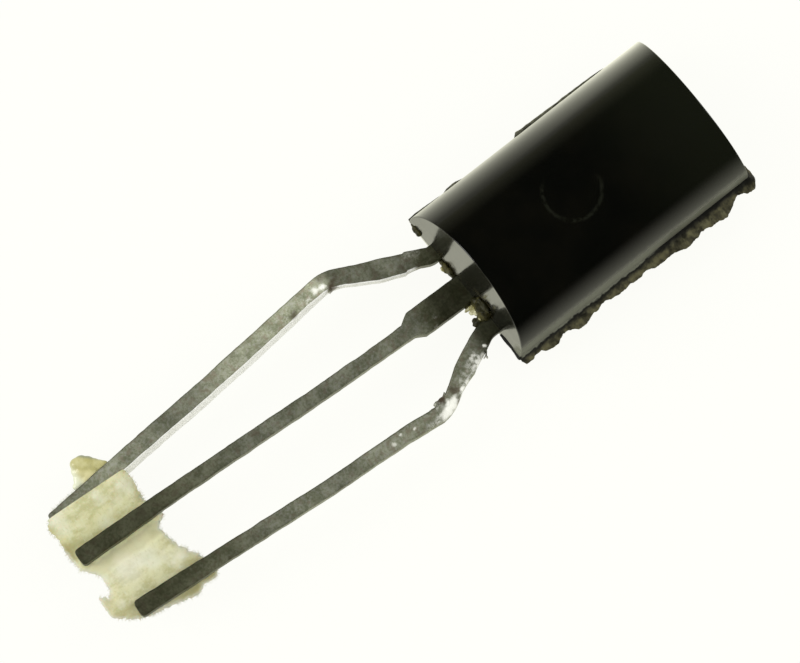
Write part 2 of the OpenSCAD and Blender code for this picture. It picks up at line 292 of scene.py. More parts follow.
EMITTER = [(PITCH, LOCK_Y, 1.45, 0.27, 0.27, 0, 0, 0.06),
           (PITCH, -4.4, 1.45, 0.25, 0.29, 0, 0.15, 0.08),
           (1.38, -4.74, 1.45, 0.245, 0.33, 0, 0, 0.12),
           (1.61, -5.26, 1.45, 0.255, 0.32, 0, 0.15, 0.16),
           (1.73, -5.49, 1.45, 0.255, 0.33, 0, 0, 0.18),
           (1.86, -5.73, 1.45, 0.24, 0.26, 0, 0, 0.16),
           (2.01, -6.02, 1.45, 0.20, 0.225, 0, 0, 0.16),
           (2.32, -6.6, 1.45, 0.19, 0.265, 0, 0.35, 0.20),
           (2.215, -7.7, 1.45, 0.225, 0.235, 0, 0, 0.10),
           (2.14, -8.7, 1.45, 0.22, 0.22, 0, 0.5, 0.08),
           (2.045, -10.2, 1.45, 0.225, 0.225, 0, 0.6, 0.06),
           (1.864, -12.0, 1.45, 0.225, 0.225, 0, 0, 0.06),
           (1.73, -13.3, 1.45, 0.225, 0.225, 0, 0, 0.06),
           (1.63, -14.3, 1.45, 0.235, 0.235, 0, 0, 0.06),
           (1.583, -14.8, 1.45, 0.25, 0.25, 0, 0, 0.06),
           (1.41, -16.62, 1.45, 0.25, 0.25, 0, 0, 0.06)]
BASE = [(-PITCH, LOCK_Y, 1.45, 0.27, 0.27, 0, 0, 0.06),
        (-PITCH, -4.28, 1.45, 0.27, 0.21, 0, 0.06, 0.06),
        (-1.42, -4.59, 1.45, 0.285, 0.205, 0, 0, 0.06),
        (-1.575, -4.905, 1.45, 0.30, 0.28, 0, 0, 0.06),
        (-1.60, -4.955, 1.45, 0.262, 0.33, 0, 0, 0.06),
        (-1.93, -5.63, 1.45, 0.255, 0.37, 0, 0, 0.06),
        (-2.15, -6.08, 1.45, 0.235, 0.33, 0, 0, 0.06),
        (-2.36, -6.5, 1.45, 0.23, 0.285, 0, 0, 0.06),
        (-2.56, -6.93, 1.45, 0.27, 0.275, 0, 0.33, 0.07),
        (-2.50, -7.7, 1.41, 0.27, 0.25, 12.8, 0.3, 0.08),
        (-2.446, -8.6, 1.359, 0.26, 0.28, 13.4, 0, 0.06),
        (-2.387, -9.6, 1.303, 0.25, 0.305, 14.1, 0, 0.06),
        (-2.298, -11.1, 1.219, 0.235, 0.31, 15.2, 0, 0.06),
        (-2.238, -12.1, 1.162, 0.24, 0.31, 15.8, 0, 0.06),
        (-2.179, -13.1, 1.106, 0.25, 0.29, 16.5, 0, 0.06),
        (-2.09, -14.6, 1.022, 0.265, 0.27, 17.6, 0, 0.06),
        (-1.95, -16.94, 0.89, 0.27, 0.25, 19.2, 0, 0.06)]


def eased(stations):
    """The stations with each corner that has an ease turned into a curve."""
    rows = [np.array(s, float) for s in stations]
    route = [rows[0]]
    for before, at, after in zip(rows, rows[1:], rows[2:]):
        ease = at[6]
        if ease == 0:
            route.append(at)
            continue
        start = at + (before - at) * ease / np.linalg.norm((before - at)[:3])
        end = at + (after - at) * ease / np.linalg.norm((after - at)[:3])
        for t in np.linspace(0, 1, EASE_STEPS + 1):
            route.append((start * (1 - t) + at * t) * (1 - t) + (at * (1 - t) + end * t) * t)
    return route + [rows[-1]]


def even_steps(route):
    """The route with stations at about equal steps along it."""
    lengths = [np.linalg.norm((b - a)[:3]) for a, b in zip(route, route[1:])]
    found = [route[0]]
    for a, b, length in zip(route, route[1:], lengths):
        parts = max(1, round(length / SWEEP_STEP))
        found += [a + (b - a) * k / parts for k in range(1, parts + 1)]
    return found


def blunted(route):
    """The route with the corners of its cut tip worn round."""
    end, before = route[-1], route[-2]
    back_way = (before - end) / np.linalg.norm((before - end)[:3])
    found = [r for r in route if np.linalg.norm((r - end)[:3]) > TIP_ROUND]
    for back in np.linspace(TIP_ROUND, 0, 6):
        at = end + back_way * back
        narrow = TIP_ROUND - math.sqrt(TIP_ROUND ** 2 - (TIP_ROUND - back) ** 2)
        found.append(np.array([*at[:3], end[3] - narrow, end[4] - narrow, *end[5:]]))
    return found


def strip_corner(middle_x, middle_z, radius, start_angle, steps=4):
    """A rounded corner of the strip's section: points and outward directions."""
    found = []
    for a in np.radians(np.linspace(start_angle, start_angle + 90, steps + 1)):
        found.append((middle_x + radius * math.cos(a), middle_z + radius * math.sin(a),
                      math.cos(a), math.sin(a)))
    return found


def strip_section(west, east, arris):
    """The strip's section, rounded at its corners, as (x, z, outward x, outward z)."""
    half = STRIP / 2
    small, under = SMALL_ARRIS, UNDER_ARRIS
    found = strip_corner(east - arris, half - arris, arris, 0)
    found += [(east - arris + (small - west - east + arris) * t, half, 0, 1)
              for t in (0.25, 0.5, 0.75)]
    found += strip_corner(-west + small, half - small, small, 90)
    found += [(-west, 0, -1, 0)]
    found += strip_corner(-west + under, -half + under, under, 180)
    found += [((east - west) * 0.5, -half, 0, -1)]
    found += strip_corner(east - under, -half + under, under, 270)
    return found


def rough(x, y=0.0, z=0.0, octaves=4):
    """Rough noise from about -1 to 1, the same on every run."""
    return noise.fractal(Vector((x, y, z)), 0.9, 2.1, octaves)


def tube_faces(rows):
    """The faces of a closed tube over rows of points that each go once round it."""
    size = len(rows[0])
    faces = []
    for a, b in zip(rows, rows[1:]):
        faces += [(a[i], a[(i + 1) % size], b[(i + 1) % size], b[i]) for i in range(size)]
    return faces + [tuple(rows[0][::-1]), tuple(rows[-1])]


def turn_outwards(shape):
    """Turns all faces to look out of the shape."""
    work = bmesh.new()
    work.from_mesh(shape.data)
    bmesh.ops.recalc_face_normals(work, faces=work.faces)
    work.to_mesh(shape.data)
    work.free()


def set_normals(shape, flat_faces=()):
    """Smooth shading in which a large face keeps its own plane, and flat_faces stay flat."""
    mesh = shape.data
    mesh.shade_smooth()
    total = np.zeros((len(mesh.vertices), 3))
    for face in mesh.polygons:
        total[list(face.vertices)] += np.array(face.normal) * face.area
    total /= np.maximum(np.linalg.norm(total, axis=1, keepdims=True), 1e-30)
    flat_faces = set(flat_faces)
    loops = []
    for face in mesh.polygons:
        own = tuple(face.normal)
        loops += [own if face.index in flat_faces else tuple(total[v]) for v in face.vertices]
    mesh.normals_split_custom_set(loops)


def sweep_lead(name, stations, seed):
    """The lead's strip, with the uneven edges and the dents of soft tin plate."""
    route = blunted(even_steps(eased(stations)))
    points, rows = [], []
    for i, station in enumerate(route):
        at = Vector(station[:3])
        run = Vector((0, 0, 0))
        if i:
            run += (at - Vector(route[i - 1][:3])).normalized()
        if i < len(route) - 1:
            run += (Vector(route[i + 1][:3]) - at).normalized()
        run.normalize()
        level = Vector((0, 0, 1)).cross(run).normalized()
        plumb = run.cross(level)
        roll = math.radians(station[5])
        aside = level * math.cos(roll) + plumb * math.sin(roll)
        up = plumb * math.cos(roll) - level * math.sin(roll)
        row = []
        for x, z, out_x, out_z in strip_section(station[3], station[4], station[7]):
            spot = at + aside * x + up * z
            out = aside * out_x + up * out_z
            dent = (rough(spot.x * 1.3, spot.y * 1.3, spot.z + seed, 2) * 0.010
                    + rough(spot.x * 5, spot.y * 5, spot.z * 5 + seed, 3) * 0.005)
            if abs(out_z) < 0.8:
                dent += rough(spot.y * 2.2, seed + math.copysign(3, out_x), 0, 3) * 0.010
            row.append(spot + out * dent)
        rows.append(list(range(len(points), len(points) + len(row))))
        points += row
    faces = tube_faces(rows)
    lead = mesh_object(name, points, faces)
    turn_outwards(lead)
    set_normals(lead, (len(faces) - 2, len(faces) - 1))
    return lead


def stamping(outline, low=1.25, high=1.65, bevel=0.03):
    """A plate with that outline, its upper and lower arrises eased a little."""
    outline = [Vector(p) for p in outline]
    area = sum(a.x * b.y - b.x * a.y for a, b in zip(outline, outline[1:] + outline[:1]))
    if area < 0:
        outline.reverse()
    inset = []
    for i, p in enumerate(outline):
        run_in = (p - outline[i - 1]).normalized()
        run_out = (outline[(i + 1) % len(outline)] - p).normalized()
        inward = Vector((-(run_in + run_out).y, (run_in + run_out).x))
        inset.append(p + inward.normalized() * bevel)
    layers = [(inset, low), (outline, low + bevel), (outline, high - bevel), (inset, high)]
    points = [(p.x, p.y, z) for ring, z in layers for p in ring]
    size = len(outline)
    faces = [tuple(range(size))[::-1], tuple(range(3 * size, 4 * size))]
    for layer in range(3):
        first = layer * size
        faces += [(first + i, first + (i + 1) % size, first + size + (i + 1) % size,
                   first + size + i) for i in range(size)]
    plate = mesh_object("stamping", points, faces)
    turn_outwards(plate)
    return plate


def clean_skin(mesh, least=60):
    """Takes out the loose bits of fewer faces than that, which joining leaves behind, and
    the points that do no more than split an edge."""
    work = bmesh.new()
    work.from_mesh(mesh)
    seen, crumbs = set(), []
    for first in work.faces:
        if first in seen:
            continue
        seen.add(first)
        piece = [first]
        for face in piece:
            for edge in face.edges:
                for other in edge.link_faces:
                    if other not in seen:
                        seen.add(other)
                        piece.append(other)
        if len(piece) < least:
            crumbs += piece
    bmesh.ops.delete(work, geom=crumbs, context="FACES")
    bmesh.ops.dissolve_verts(work, verts=[v for v in work.verts if len(v.link_edges) == 2])
    work.to_mesh(mesh)
    work.free()


def make_solid(shape):
    """Gives the shape what its modifiers show, as one clean skin of its own."""
    bpy.context.view_layer.update()
    whole = shape.evaluated_get(bpy.context.evaluated_depsgraph_get())
    mesh = bpy.data.meshes.new_from_object(whole)
    clean_skin(mesh)
    shape.modifiers.clear()
    shape.data = mesh


def unite(shape, others):
    """Joins shapes that overlap into one closed skin, and keeps the first one's name."""
    for other in others:
        join = shape.modifiers.new("join", "BOOLEAN")
        join.operation = "UNION"
        join.solver = "EXACT"
        join.object = other
    make_solid(shape)
    for other in others:
        bpy.data.objects.remove(other)


def post_outline(side):
    """The hidden part of an outer lead: a waist, then the post that its wire is bonded to."""
    near, far, lap = -3.3, -1.9, LOCK_Y - LAP
    inner, outer, x = side * 0.6, side * 1.95, side * PITCH
    waist = side * 0.15
    return [(x - waist, lap), (x - waist, near), (inner, near), (inner, far), (outer, far),
            (outer, near), (x + waist, near), (x + waist, lap)]


PAD = [(0.3, LOCK_Y - LAP), (0.3, -1.6), (1.2, -1.6), (1.2, 1.0), (0.9, 1.5), (-0.9, 1.5),
       (-1.2, 1.0), (-1.2, -1.6), (-0.3, -1.6), (-0.3, LOCK_Y - LAP)]
# The torn stubs of the tie bar on the inner edges of the outer leads
EMITTER_STUB = [(2.24, -6.40), (2.05, -6.33), (1.96, -6.345), (1.905, -6.36), (1.95, -6.42),
                (1.985, -6.475), (1.975, -6.56), (1.995, -6.65), (1.98, -6.72),
                (2.005, -6.80), (2.06, -6.79), (2.09, -6.83), (2.075, -6.92),
                (2.075, -7.02), (2.28, -7.0)]
EMITTER_HOOK = [(1.60, -4.80), (1.60, -4.695), (1.68, -4.68), (1.77, -4.715), (1.85, -4.79),
                (1.92, -4.80), (1.91, -4.82), (1.85, -4.82), (1.87, -4.89), (1.85, -4.90),
                (1.82, -4.82), (1.745, -4.74), (1.68, -4.72), (1.66, -4.82)]
BASE_STUB = [(-2.50, -6.62), (-2.28, -6.68), (-2.22, -6.76), (-2.24, -6.88), (-2.22, -6.98),
             (-2.20, -7.08), (-2.26, -7.10), (-2.32, -7.10), (-2.40, -7.06), (-2.50, -7.0)]
TIN_DARK = (0.56, 0.60, 0.38, 1)
TIN_MID = (0.88, 0.92, 0.65, 1)
TIN_PALE = (1.0, 1.0, 0.86, 1)
TIN_PITTED = (0.34, 0.37, 0.20, 1)
TIN_BROWN = (0.62, 0.53, 0.36, 1)
TIN_SHADED = (0.012, 0.013, 0.007, 1)           # the flanks that face -X
# Burnished tin with a painted glint on it, for the bright marks
BURNISH_GLINT = (0.96, 0.96, 0.87, 1)
# Painted reflection of the white sheet, on the bare flanks that face +X
SHEARED_SHEEN = (1.0, 1.0, 0.94, 1)
STAIN = (0.10, 0.075, 0.045, 1)
FLANK_EASE = 0.2                    # how far a bare flank takes to start or end
FAINT = 0.5                         # a bright mark weaker than this is broken up into specks


def finish_of(name, colour, roughness, **sockets):
    """A new material, its shader, and the place on the part in mm."""
    made = bpy.data.materials.new(name)
    made.use_nodes = True
    tree = made.node_tree
    shader = tree.nodes["Principled BSDF"]
    shader.inputs["Base Color"].default_value = (*colour, 1)
    shader.inputs["Roughness"].default_value = roughness
    for key, value in sockets.items():
        shader.inputs[key.replace("_", " ")].default_value = value
    return made, shader, place_in_mm(tree)


def grain(spot, per_mm, detail=3.0, roughness=0.55, stretch=(1, 1, 1), seed=0.0):
    """Noise with so many cells to the millimetre."""
    moved = node("ShaderNodeMapping", {"Vector": spot, "Location": (seed, seed, seed),
                                       "Scale": stretch}).outputs[0]
    return node("ShaderNodeTexNoise", {"Vector": moved, "Scale": per_mm, "Detail": detail,
                                       "Roughness": roughness}).outputs["Fac"]


def bumped(shader, height, depth, under=None):
    """A bump of that depth in mm, over another one where given."""
    made = node("ShaderNodeBump", {"Height": height, "Distance": depth * MM, "Strength": 1.0})
    if under is not None:
        feed(made.inputs["Normal"], under)
    feed(shader.inputs["Normal"], made.outputs[0])
    return made.outputs[0]


def near_to(spot, middle, radius, soft=0.75):
    """1 round a place and 0 beyond the radius, both in mm."""
    return ramp(distance_from(spot, middle), radius, radius * (1 - soft))


def wavering(spot, per_mm, reach):
    """The place pushed about by noise, so that a mark's edge isn't a circle."""
    stir = node("ShaderNodeTexNoise", {"Vector": spot, "Scale": per_mm, "Detail": 3.0})
    push = node("ShaderNodeVectorMath", {0: stir.outputs["Color"], 1: (0.5, 0.5, 0.5)},
                operation="SUBTRACT").outputs[0]
    push = node("ShaderNodeVectorMath", {0: push, "Scale": reach}, operation="SCALE").outputs[0]
    return node("ShaderNodeVectorMath", {0: spot, 1: push}, operation="ADD").outputs[0]


def lengthwise(spot, shades):
    """How light a lead is along its length, from a list of (y, share) that falls in y."""
    low, high = shades[-1][0], shades[0][0]
    along = node("ShaderNodeMapRange", {"Value": axes(spot)["Y"], "From Min": low,
                                        "From Max": high}).outputs[0]
    scale = node("ShaderNodeValToRGB", {"Fac": along})
    elements = scale.color_ramp.elements
    for y, share in shades[1:-1]:
        elements.new((y - low) / (high - low))
    for element, (y, share) in zip(elements, shades[::-1]):
        element.color = (share, share, share * min(1.0, 0.5 + 2 * share), 1)
    return scale.outputs["Color"]


def tin(name, shades, flanks, bright_marks, dark_marks):
    """Dulled tin plate, mottled grey and olive. Flanks are the stretches where the sheared
    side facing +X is bare and painted near-white, a painted reflection of the sheet, each
    (y, y, strength, the least of it that its pits leave). Bright marks are burnished tin
    with a painted glint on it. A mark is (x, y, z, radius, strength)."""
    made, shader, spot = finish_of(name, TIN_MID[:3], 0.42, Metallic=0.4)
    broad = grain(spot, 1.6, 4, 0.6)
    fine = grain(spot, 12, 3, 0.7, seed=2.0)
    rust = grain(spot, 4.5, 4, 0.65, seed=11.0)
    drawn = grain(spot, 9, 3, 0.6, (1, 0.12, 1), 7.0)
    colour = mixed(ramp(broad, 0.38, 0.62, 0.3, 1.0), TIN_DARK, TIN_MID)
    colour = mixed(ramp(fine, 0.50, 0.62, 0.0, 0.6), colour, TIN_PALE)
    colour = mixed(ramp(fine, 0.49, 0.38, 0.0, 0.45), colour, TIN_PITTED)
    colour = mixed(ramp(rust, 0.50, 0.64, 0.0, 0.65), colour, TIN_BROWN)
    colour = mixed(ramp(drawn, 0.50, 0.75, 0.0, 0.35), colour, TIN_DARK)
    # Painted light and shade along the lead, over the tin's own tone.
    colour = mixed(1.0, colour, lengthwise(spot, shades), "MULTIPLY")
    metal = ramp(broad, 0.3, 0.7, 0.5, 0.35)
    surface = node("ShaderNodeNewGeometry", tree=made.node_tree).outputs
    facing = axes(surface["Normal"])["X"]
    colour = mixed(ramp(facing, -0.2, -0.6, 0.0, 0.5), colour, TIN_SHADED)
    along_y = axes(spot)["Y"]
    # The bare flanks that face +X get a painted reflection of the sheet, over the bare tin.
    for start, end, strength, least in flanks:
        bare = times(ramp(facing, 0.30, 0.55, 0.0, strength),
                     ramp(along_y, start + FLANK_EASE, start),
                     ramp(along_y, end - FLANK_EASE, end),
                     ramp(rust, 0.42, 0.54, least, 1.0))
        colour = mixed(bare, colour, SHEARED_SHEEN)
        metal = times(metal, minus(1.0, bare))
    wavy = wavering(spot, 5.0, 0.22)
    for x, y, z, radius, strength in dark_marks:
        share = times(near_to(wavy, (x, y, z), radius), strength)
        colour = mixed(share, colour, STAIN)
    specks = ramp(fine, 0.44, 0.58, 0.3, 1.2)
    # Bright marks: burnished patches with a painted glint on them.
    for x, y, z, radius, strength in bright_marks:
        share = times(near_to(wavy, (x, y, z), radius), strength)
        if strength < FAINT:
            share = times(share, specks)
        colour = mixed(share, colour, BURNISH_GLINT)
        metal = times(metal, minus(1.0, share))
    feed(shader.inputs["Base Color"], colour)
    feed(shader.inputs["Metallic"], metal)
    feed(shader.inputs["Roughness"], ramp(broad, 0.3, 0.7, 0.34, 0.56))
    bumped(shader, drawn, 0.003, under=bumped(shader, fine, 0.008))
    return made


# How light each lead is from its root to its tip, each (y, share). This is partly the tin's
# own tone and partly painted light and shade, with painted shade at the dark roots beside the
# moulding.
COLLECTOR_SHADES = [(-4.0, 0.055), (-5.0, 0.055), (-5.4, 0.15), (-5.8, 0.255), (-6.4, 0.31),
                    (-7.5, 0.30), (-8.6, 0.245), (-9.5, 0.235), (-10.3, 0.275),
                    (-11.2, 0.25), (-12.0, 0.23), (-13.4, 0.17), (-14.2, 0.11),
                    (-15.0, 0.085), (-15.8, 0.105), (-17.1, 0.09)]
EMITTER_SHADES = [(-4.0, 0.04), (-4.5, 0.055), (-4.9, 0.24), (-5.4, 0.37), (-5.9, 0.36),
                  (-6.9, 0.32), (-7.5, 0.40), (-8.2, 0.36), (-9.2, 0.36), (-10.2, 0.25),
                  (-11.1, 0.36), (-11.8, 0.30), (-12.6, 0.235), (-13.5, 0.18),
                  (-14.5, 0.145), (-15.5, 0.105), (-16.7, 0.08)]
BASE_SHADES = [(-4.0, 0.07), (-4.6, 0.13), (-5.0, 0.25), (-5.4, 0.31), (-5.8, 0.22),
               (-6.2, 0.24), (-6.8, 0.28), (-7.1, 0.55), (-7.4, 0.75), (-7.8, 0.63),
               (-8.5, 0.70), (-9.5, 0.63), (-10.3, 0.50), (-11.0, 0.46), (-11.8, 0.30),
               (-12.6, 0.29), (-13.4, 0.32), (-14.2, 0.41), (-15.0, 0.46), (-17.0, 0.28)]
# Bright marks are painted glints on burnished tin.
COLLECTOR_BRIGHT = [(0.37, -5.40, 1.65, 0.08, 0.25), (0.11, -5.25, 1.65, 0.10, 0.14)]
EMITTER_BRIGHT = [(2.40, -6.58, 1.62, 0.24, 1.0), (2.36, -6.40, 1.62, 0.24, 1.0),
                  (2.26, -6.26, 1.62, 0.16, 0.9), (1.61, -4.70, 1.64, 0.08, 0.9),
                  (1.76, -4.86, 1.55, 0.12, 1.0), (1.85, -5.07, 1.55, 0.12, 1.0),
                  (1.88, -5.20, 1.55, 0.11, 1.0), (1.62, -5.09, 1.65, 0.09, 0.6),
                  (1.66, -5.20, 1.65, 0.09, 0.6), (2.08, -5.68, 1.57, 0.12, 0.8),
                  (2.17, -5.88, 1.57, 0.13, 1.0),
                  (1.88, -5.60, 1.65, 0.16, 0.25), (2.12, -6.75, 1.65, 0.2, 0.25),
                  (2.22, -7.62, 1.65, 0.07, 0.6), (2.13, -8.02, 1.65, 0.07, 0.6),
                  (2.21, -8.36, 1.65, 0.09, 0.5), (1.65, -5.04, 1.65, 0.20, 0.25),
                  (1.75, -5.15, 1.65, 0.24, 0.3), (1.80, -5.36, 1.65, 0.22, 0.25),
                  (1.83, -5.13, 1.64, 0.11, 0.9), (1.77, -5.00, 1.64, 0.09, 0.6),
                  (1.90, -5.29, 1.64, 0.11, 0.6), (2.03, -5.80, 1.65, 0.16, 0.3),
                  (2.20, -6.46, 1.65, 0.13, 0.9), (2.45, -6.76, 1.64, 0.18, 0.9),
                  (2.45, -6.93, 1.65, 0.18, 0.3), (2.46, -7.08, 1.65, 0.17, 0.3),
                  (2.46, -7.25, 1.65, 0.16, 0.2)]
EMITTER_DARK = [(2.06, -6.12, 1.65, 0.20, 0.75), (2.03, -6.58, 1.6, 0.18, 1.0),
                (2.42, -6.17, 1.55, 0.20, 0.75)]
BASE_BRIGHT = [(-2.47, -7.16, 1.65, 0.15, 1.0), (-2.49, -7.36, 1.62, 0.17, 0.9),
               (-2.40, -7.72, 1.60, 0.20, 0.4), (-1.44, -5.02, 1.62, 0.05, 0.7),
               (-1.62, -4.58, 1.65, 0.22, 0.14), (-1.72, -4.78, 1.65, 0.18, 0.16)]
BASE_DARK = [(-2.34, -8.28, 1.60, 0.17, 0.6), (-2.73, -7.08, 1.62, 0.18, 0.45),
             (-2.24, -6.96, 1.55, 0.28, 0.9),
             (-1.55, -5.10, 1.65, 0.16, 0.6), (-2.49, -6.68, 1.65, 0.14, 0.45),
             (-2.43, -6.84, 1.65, 0.15, 0.7), (-2.33, -6.98, 1.65, 0.14, 0.9)]
# Stretches of painted reflection on the bare flanks that face +X
EMITTER_FLANKS = [(-4.9, -6.7, 0.5, 0.1)]
BASE_FLANKS = [(-4.9, -6.9, 1.0, 0.9), (-7.0, -14.6, 1.0, 0.9)]

for name, node_name, stations, seed, inner, stubs, shades, flanks, bright, dark in (
        ("collector_strip", "collector_lead", COLLECTOR, 10.0, PAD, [],
         COLLECTOR_SHADES, [], COLLECTOR_BRIGHT, []),
        ("emitter_strip", "emitter_lead", EMITTER, 20.0, post_outline(1),
         [EMITTER_STUB, EMITTER_HOOK], EMITTER_SHADES, EMITTER_FLANKS, EMITTER_BRIGHT,
         EMITTER_DARK),
        ("base_strip", "base_lead", BASE, 30.0, post_outline(-1), [BASE_STUB],
         BASE_SHADES, BASE_FLANKS, BASE_BRIGHT, BASE_DARK)):
    lead = sweep_lead(name, stations, seed)
    unite(lead, [stamping(inner)] + [stamping(stub, 1.40, 1.63, 0.01) for stub in stubs])
    lead.data.shade_smooth()
    lead.data.set_sharp_from_angle(angle=SHARP_ANGLE)
    lead.data.materials.append(tin("dull_" + name, shades, flanks, bright, dark))
    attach(lead, "root")
    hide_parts(node_name)

# ---- The die, its solder and its bond wires ----
# A silicon chip soldered to the collector's pad, with a gold wire to each outer lead. The
# epoxy hides them all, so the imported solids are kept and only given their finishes.

GOLD = (0.80, 0.55, 0.17)
GOLD_PALE = (0.90, 0.66, 0.25)

for node_name, name, colour, other, gloss, metal, cells in (
        ("silicon_die", "polished_silicon", (0.10, 0.11, 0.14), (0.16, 0.17, 0.21), 0.22, 0.7, 4),
        ("die_solder", "soft_solder", (0.42, 0.42, 0.43), (0.58, 0.58, 0.57), 0.45, 0.9, 6),
        ("emitter_bond_wire", "gold_to_emitter", GOLD, GOLD_PALE, 0.25, 1.0, 14),
        ("base_bond_wire", "gold_to_base", GOLD, GOLD_PALE, 0.25, 1.0, 14)):
    made, shader, spot = finish_of(name, colour, gloss, Metallic=metal)
    speckle = grain(spot, cells, 3)
    feed(shader.inputs["Base Color"], mixed(speckle, (*colour, 1), (*other, 1)))
    feed(shader.inputs["Roughness"], ramp(speckle, 0.3, 0.7, gloss, gloss + 0.15))
    bumped(shader, speckle, 0.002)
    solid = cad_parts[node_name]
    solid.data.materials.clear()
    solid.data.materials.append(made)

# ---- The moulding ----
# Black epoxy, moulded round the lead frame in two halves that meet at the leads. The back is
# half round, the front tapers to a flat face, and both ends are drafted away from the parting
# line. An ejector pin left a fine ring in the back. The mould was polished, so it shines.

BACK_RADIUS = 2.45
PARTING_Z = 1.45
FLAT_HALF = 2.1                     # half the width of the flat front
HALF_LENGTH = 4.1
NEAR_DRAFT = math.tan(math.radians(7.5))
FAR_DRAFT = math.tan(math.radians(6.2))
ARRIS = 0.03                        # how far from a sharp corner its rounding starts
PARTING_ARRIS = 0.012
ARC_STEP = 1.25                     # degrees between two points of the half-round back
BODY_ROWS = 64                      # rows of skin from end to end
RING_Y = -0.46
RING_RADIUS = 0.82
RING_GROOVE = [(0.15, 0.0), (0.35, 0.0), (0.55, 0.0), (0.70, 0.0), (0.76, 0.001),
               (0.785, 0.004), (0.805, 0.007), (0.82, 0.008), (0.835, 0.007), (0.855, 0.004),
               (0.88, 0.001), (0.92, 0.0)]      # the ring's [radius, depth]
RING_COLUMNS = 20                   # the columns of skin that its patch takes on each side
RING_ROWS = 9


def rounded_corner(before, at, after, setback=ARRIS, steps=5):
    """A corner between two straight runs, eased from so far before it to so far after."""
    start = at + (before - at).normalized() * setback
    end = at + (after - at).normalized() * setback
    return [start.lerp(at, t).lerp(at.lerp(end, t), t) for t in np.linspace(0, 1, steps)]


def body_section():
    """The D-shaped outline as (x, z), from the middle of the flat round by +X and back."""
    flat, side = Vector((FLAT_HALF, 0)), Vector((BACK_RADIUS, PARTING_Z))
    half = [Vector((x, 0)) for x in np.linspace(0, FLAT_HALF * 0.85, 5)]
    half += rounded_corner(half[0], flat, side)
    half += [flat.lerp(side, t) for t in (0.25, 0.5, 0.75)]
    parting = rounded_corner(flat, side, side + Vector((0, 1)), PARTING_ARRIS, 3)
    parting[1].y = PARTING_Z
    half += parting
    for angle in np.arange(ARC_STEP, 90.01, ARC_STEP):
        a = math.radians(angle)
        half.append(Vector((BACK_RADIUS * math.cos(a), PARTING_Z + BACK_RADIUS * math.sin(a))))
    half[-1].x = 0
    return half + [Vector((-p.x, p.y)) for p in half[-2:0:-1]]


def end_of(z, side):
    """How far the drafted end on that side reaches at that height."""
    return HALF_LENGTH - abs(z - PARTING_Z) * (NEAR_DRAFT if side < 0 else FAR_DRAFT)


def outward(section):
    """The outline's outward normals."""
    found = []
    for i, p in enumerate(section):
        run = section[(i + 1) % len(section)] - section[i - 1]
        found.append(Vector((run.y, -run.x)).normalized())
    return found


def make_moulding():
    """The skin in rows from end to end, with the ring's patch in the back, and both ends."""
    section = body_section()
    normals = outward(section)
    count = len(section)
    near = [end_of(p.y, -1) - ARRIS for p in section]
    far = [end_of(p.y, 1) - ARRIS for p in section]
    points, rows = [], []

    def add_row(row):
        rows.append(list(range(len(points), len(points) + count)))
        points.extend(row)

    rounding = np.linspace(0, 1, 5)
    for t in rounding[:0:-1]:
        add_row(end_row(section, normals, near, -1, t))
    for share in np.linspace(0, 1, BODY_ROWS + 1):
        add_row([(p.x, b * share - a * (1 - share), p.y)
                 for p, a, b in zip(section, near, far)])
    for t in rounding[1:]:
        add_row(end_row(section, normals, far, 1, t))
    top = next(i for i, p in enumerate(section) if abs(p.x) < 1e-9 and p.y > PARTING_Z)
    middle = min(range(len(rows)), key=lambda j: abs(points[rows[j][top]][1] - RING_Y))
    low, high = middle - RING_ROWS, middle + RING_ROWS
    left, right = top - RING_COLUMNS, top + RING_COLUMNS
    faces = []
    for j in range(len(rows) - 1):
        for i in range(count):
            if not (low <= j < high and left <= i < right):
                k = (i + 1) % count
                faces.append((rows[j][i], rows[j][k], rows[j + 1][k], rows[j + 1][i]))
    edge = ([rows[low][i] for i in range(left, right)]
            + [rows[j][right] for j in range(low, high)]
            + [rows[high][i] for i in range(right, left, -1)]
            + [rows[j][left] for j in range(high, low, -1)])
    faces += ring_patch(points, edge)
    seam = [i for i, p in enumerate(section) if abs(p.y - PARTING_Z) < 1e-5]
    flat = []
    for row, turn in ((rows[0], -1), (rows[-1], 1)):
        back = row[seam[0]:seam[1] + 1]
        front = row[seam[1]:] + row[:seam[0] + 1]
        for outline in (back, front):
            middle = len(points)
            points.append(sum((Vector(points[v]) for v in outline), Vector()) / len(outline))
            for a, b in zip(outline, outline[1:] + outline[:1]):
                flat.append(len(faces))
                faces.append((middle, a, b)[::turn])
    body = mesh_object("moulding", points, faces)
    turn_outwards(body)
    set_normals(body, flat)
    return body


def end_row(section, normals, ends, side, t):
    """One row of the rounding between the moulding's skin and one of its ends."""
    row = []
    for p, n, end in zip(section, normals, ends):
        inset = p - n * ARRIS
        if abs(p.y - PARTING_Z) < 1e-5:
            inset.y = PARTING_Z
        start = Vector((p.x, side * end, p.y))
        corner = Vector((p.x, side * end_of(p.y, side), p.y))
        on_end = Vector((inset.x, side * end_of(inset.y, side), inset.y))
        row.append(start.lerp(corner, t).lerp(corner.lerp(on_end, t), t))
    return row


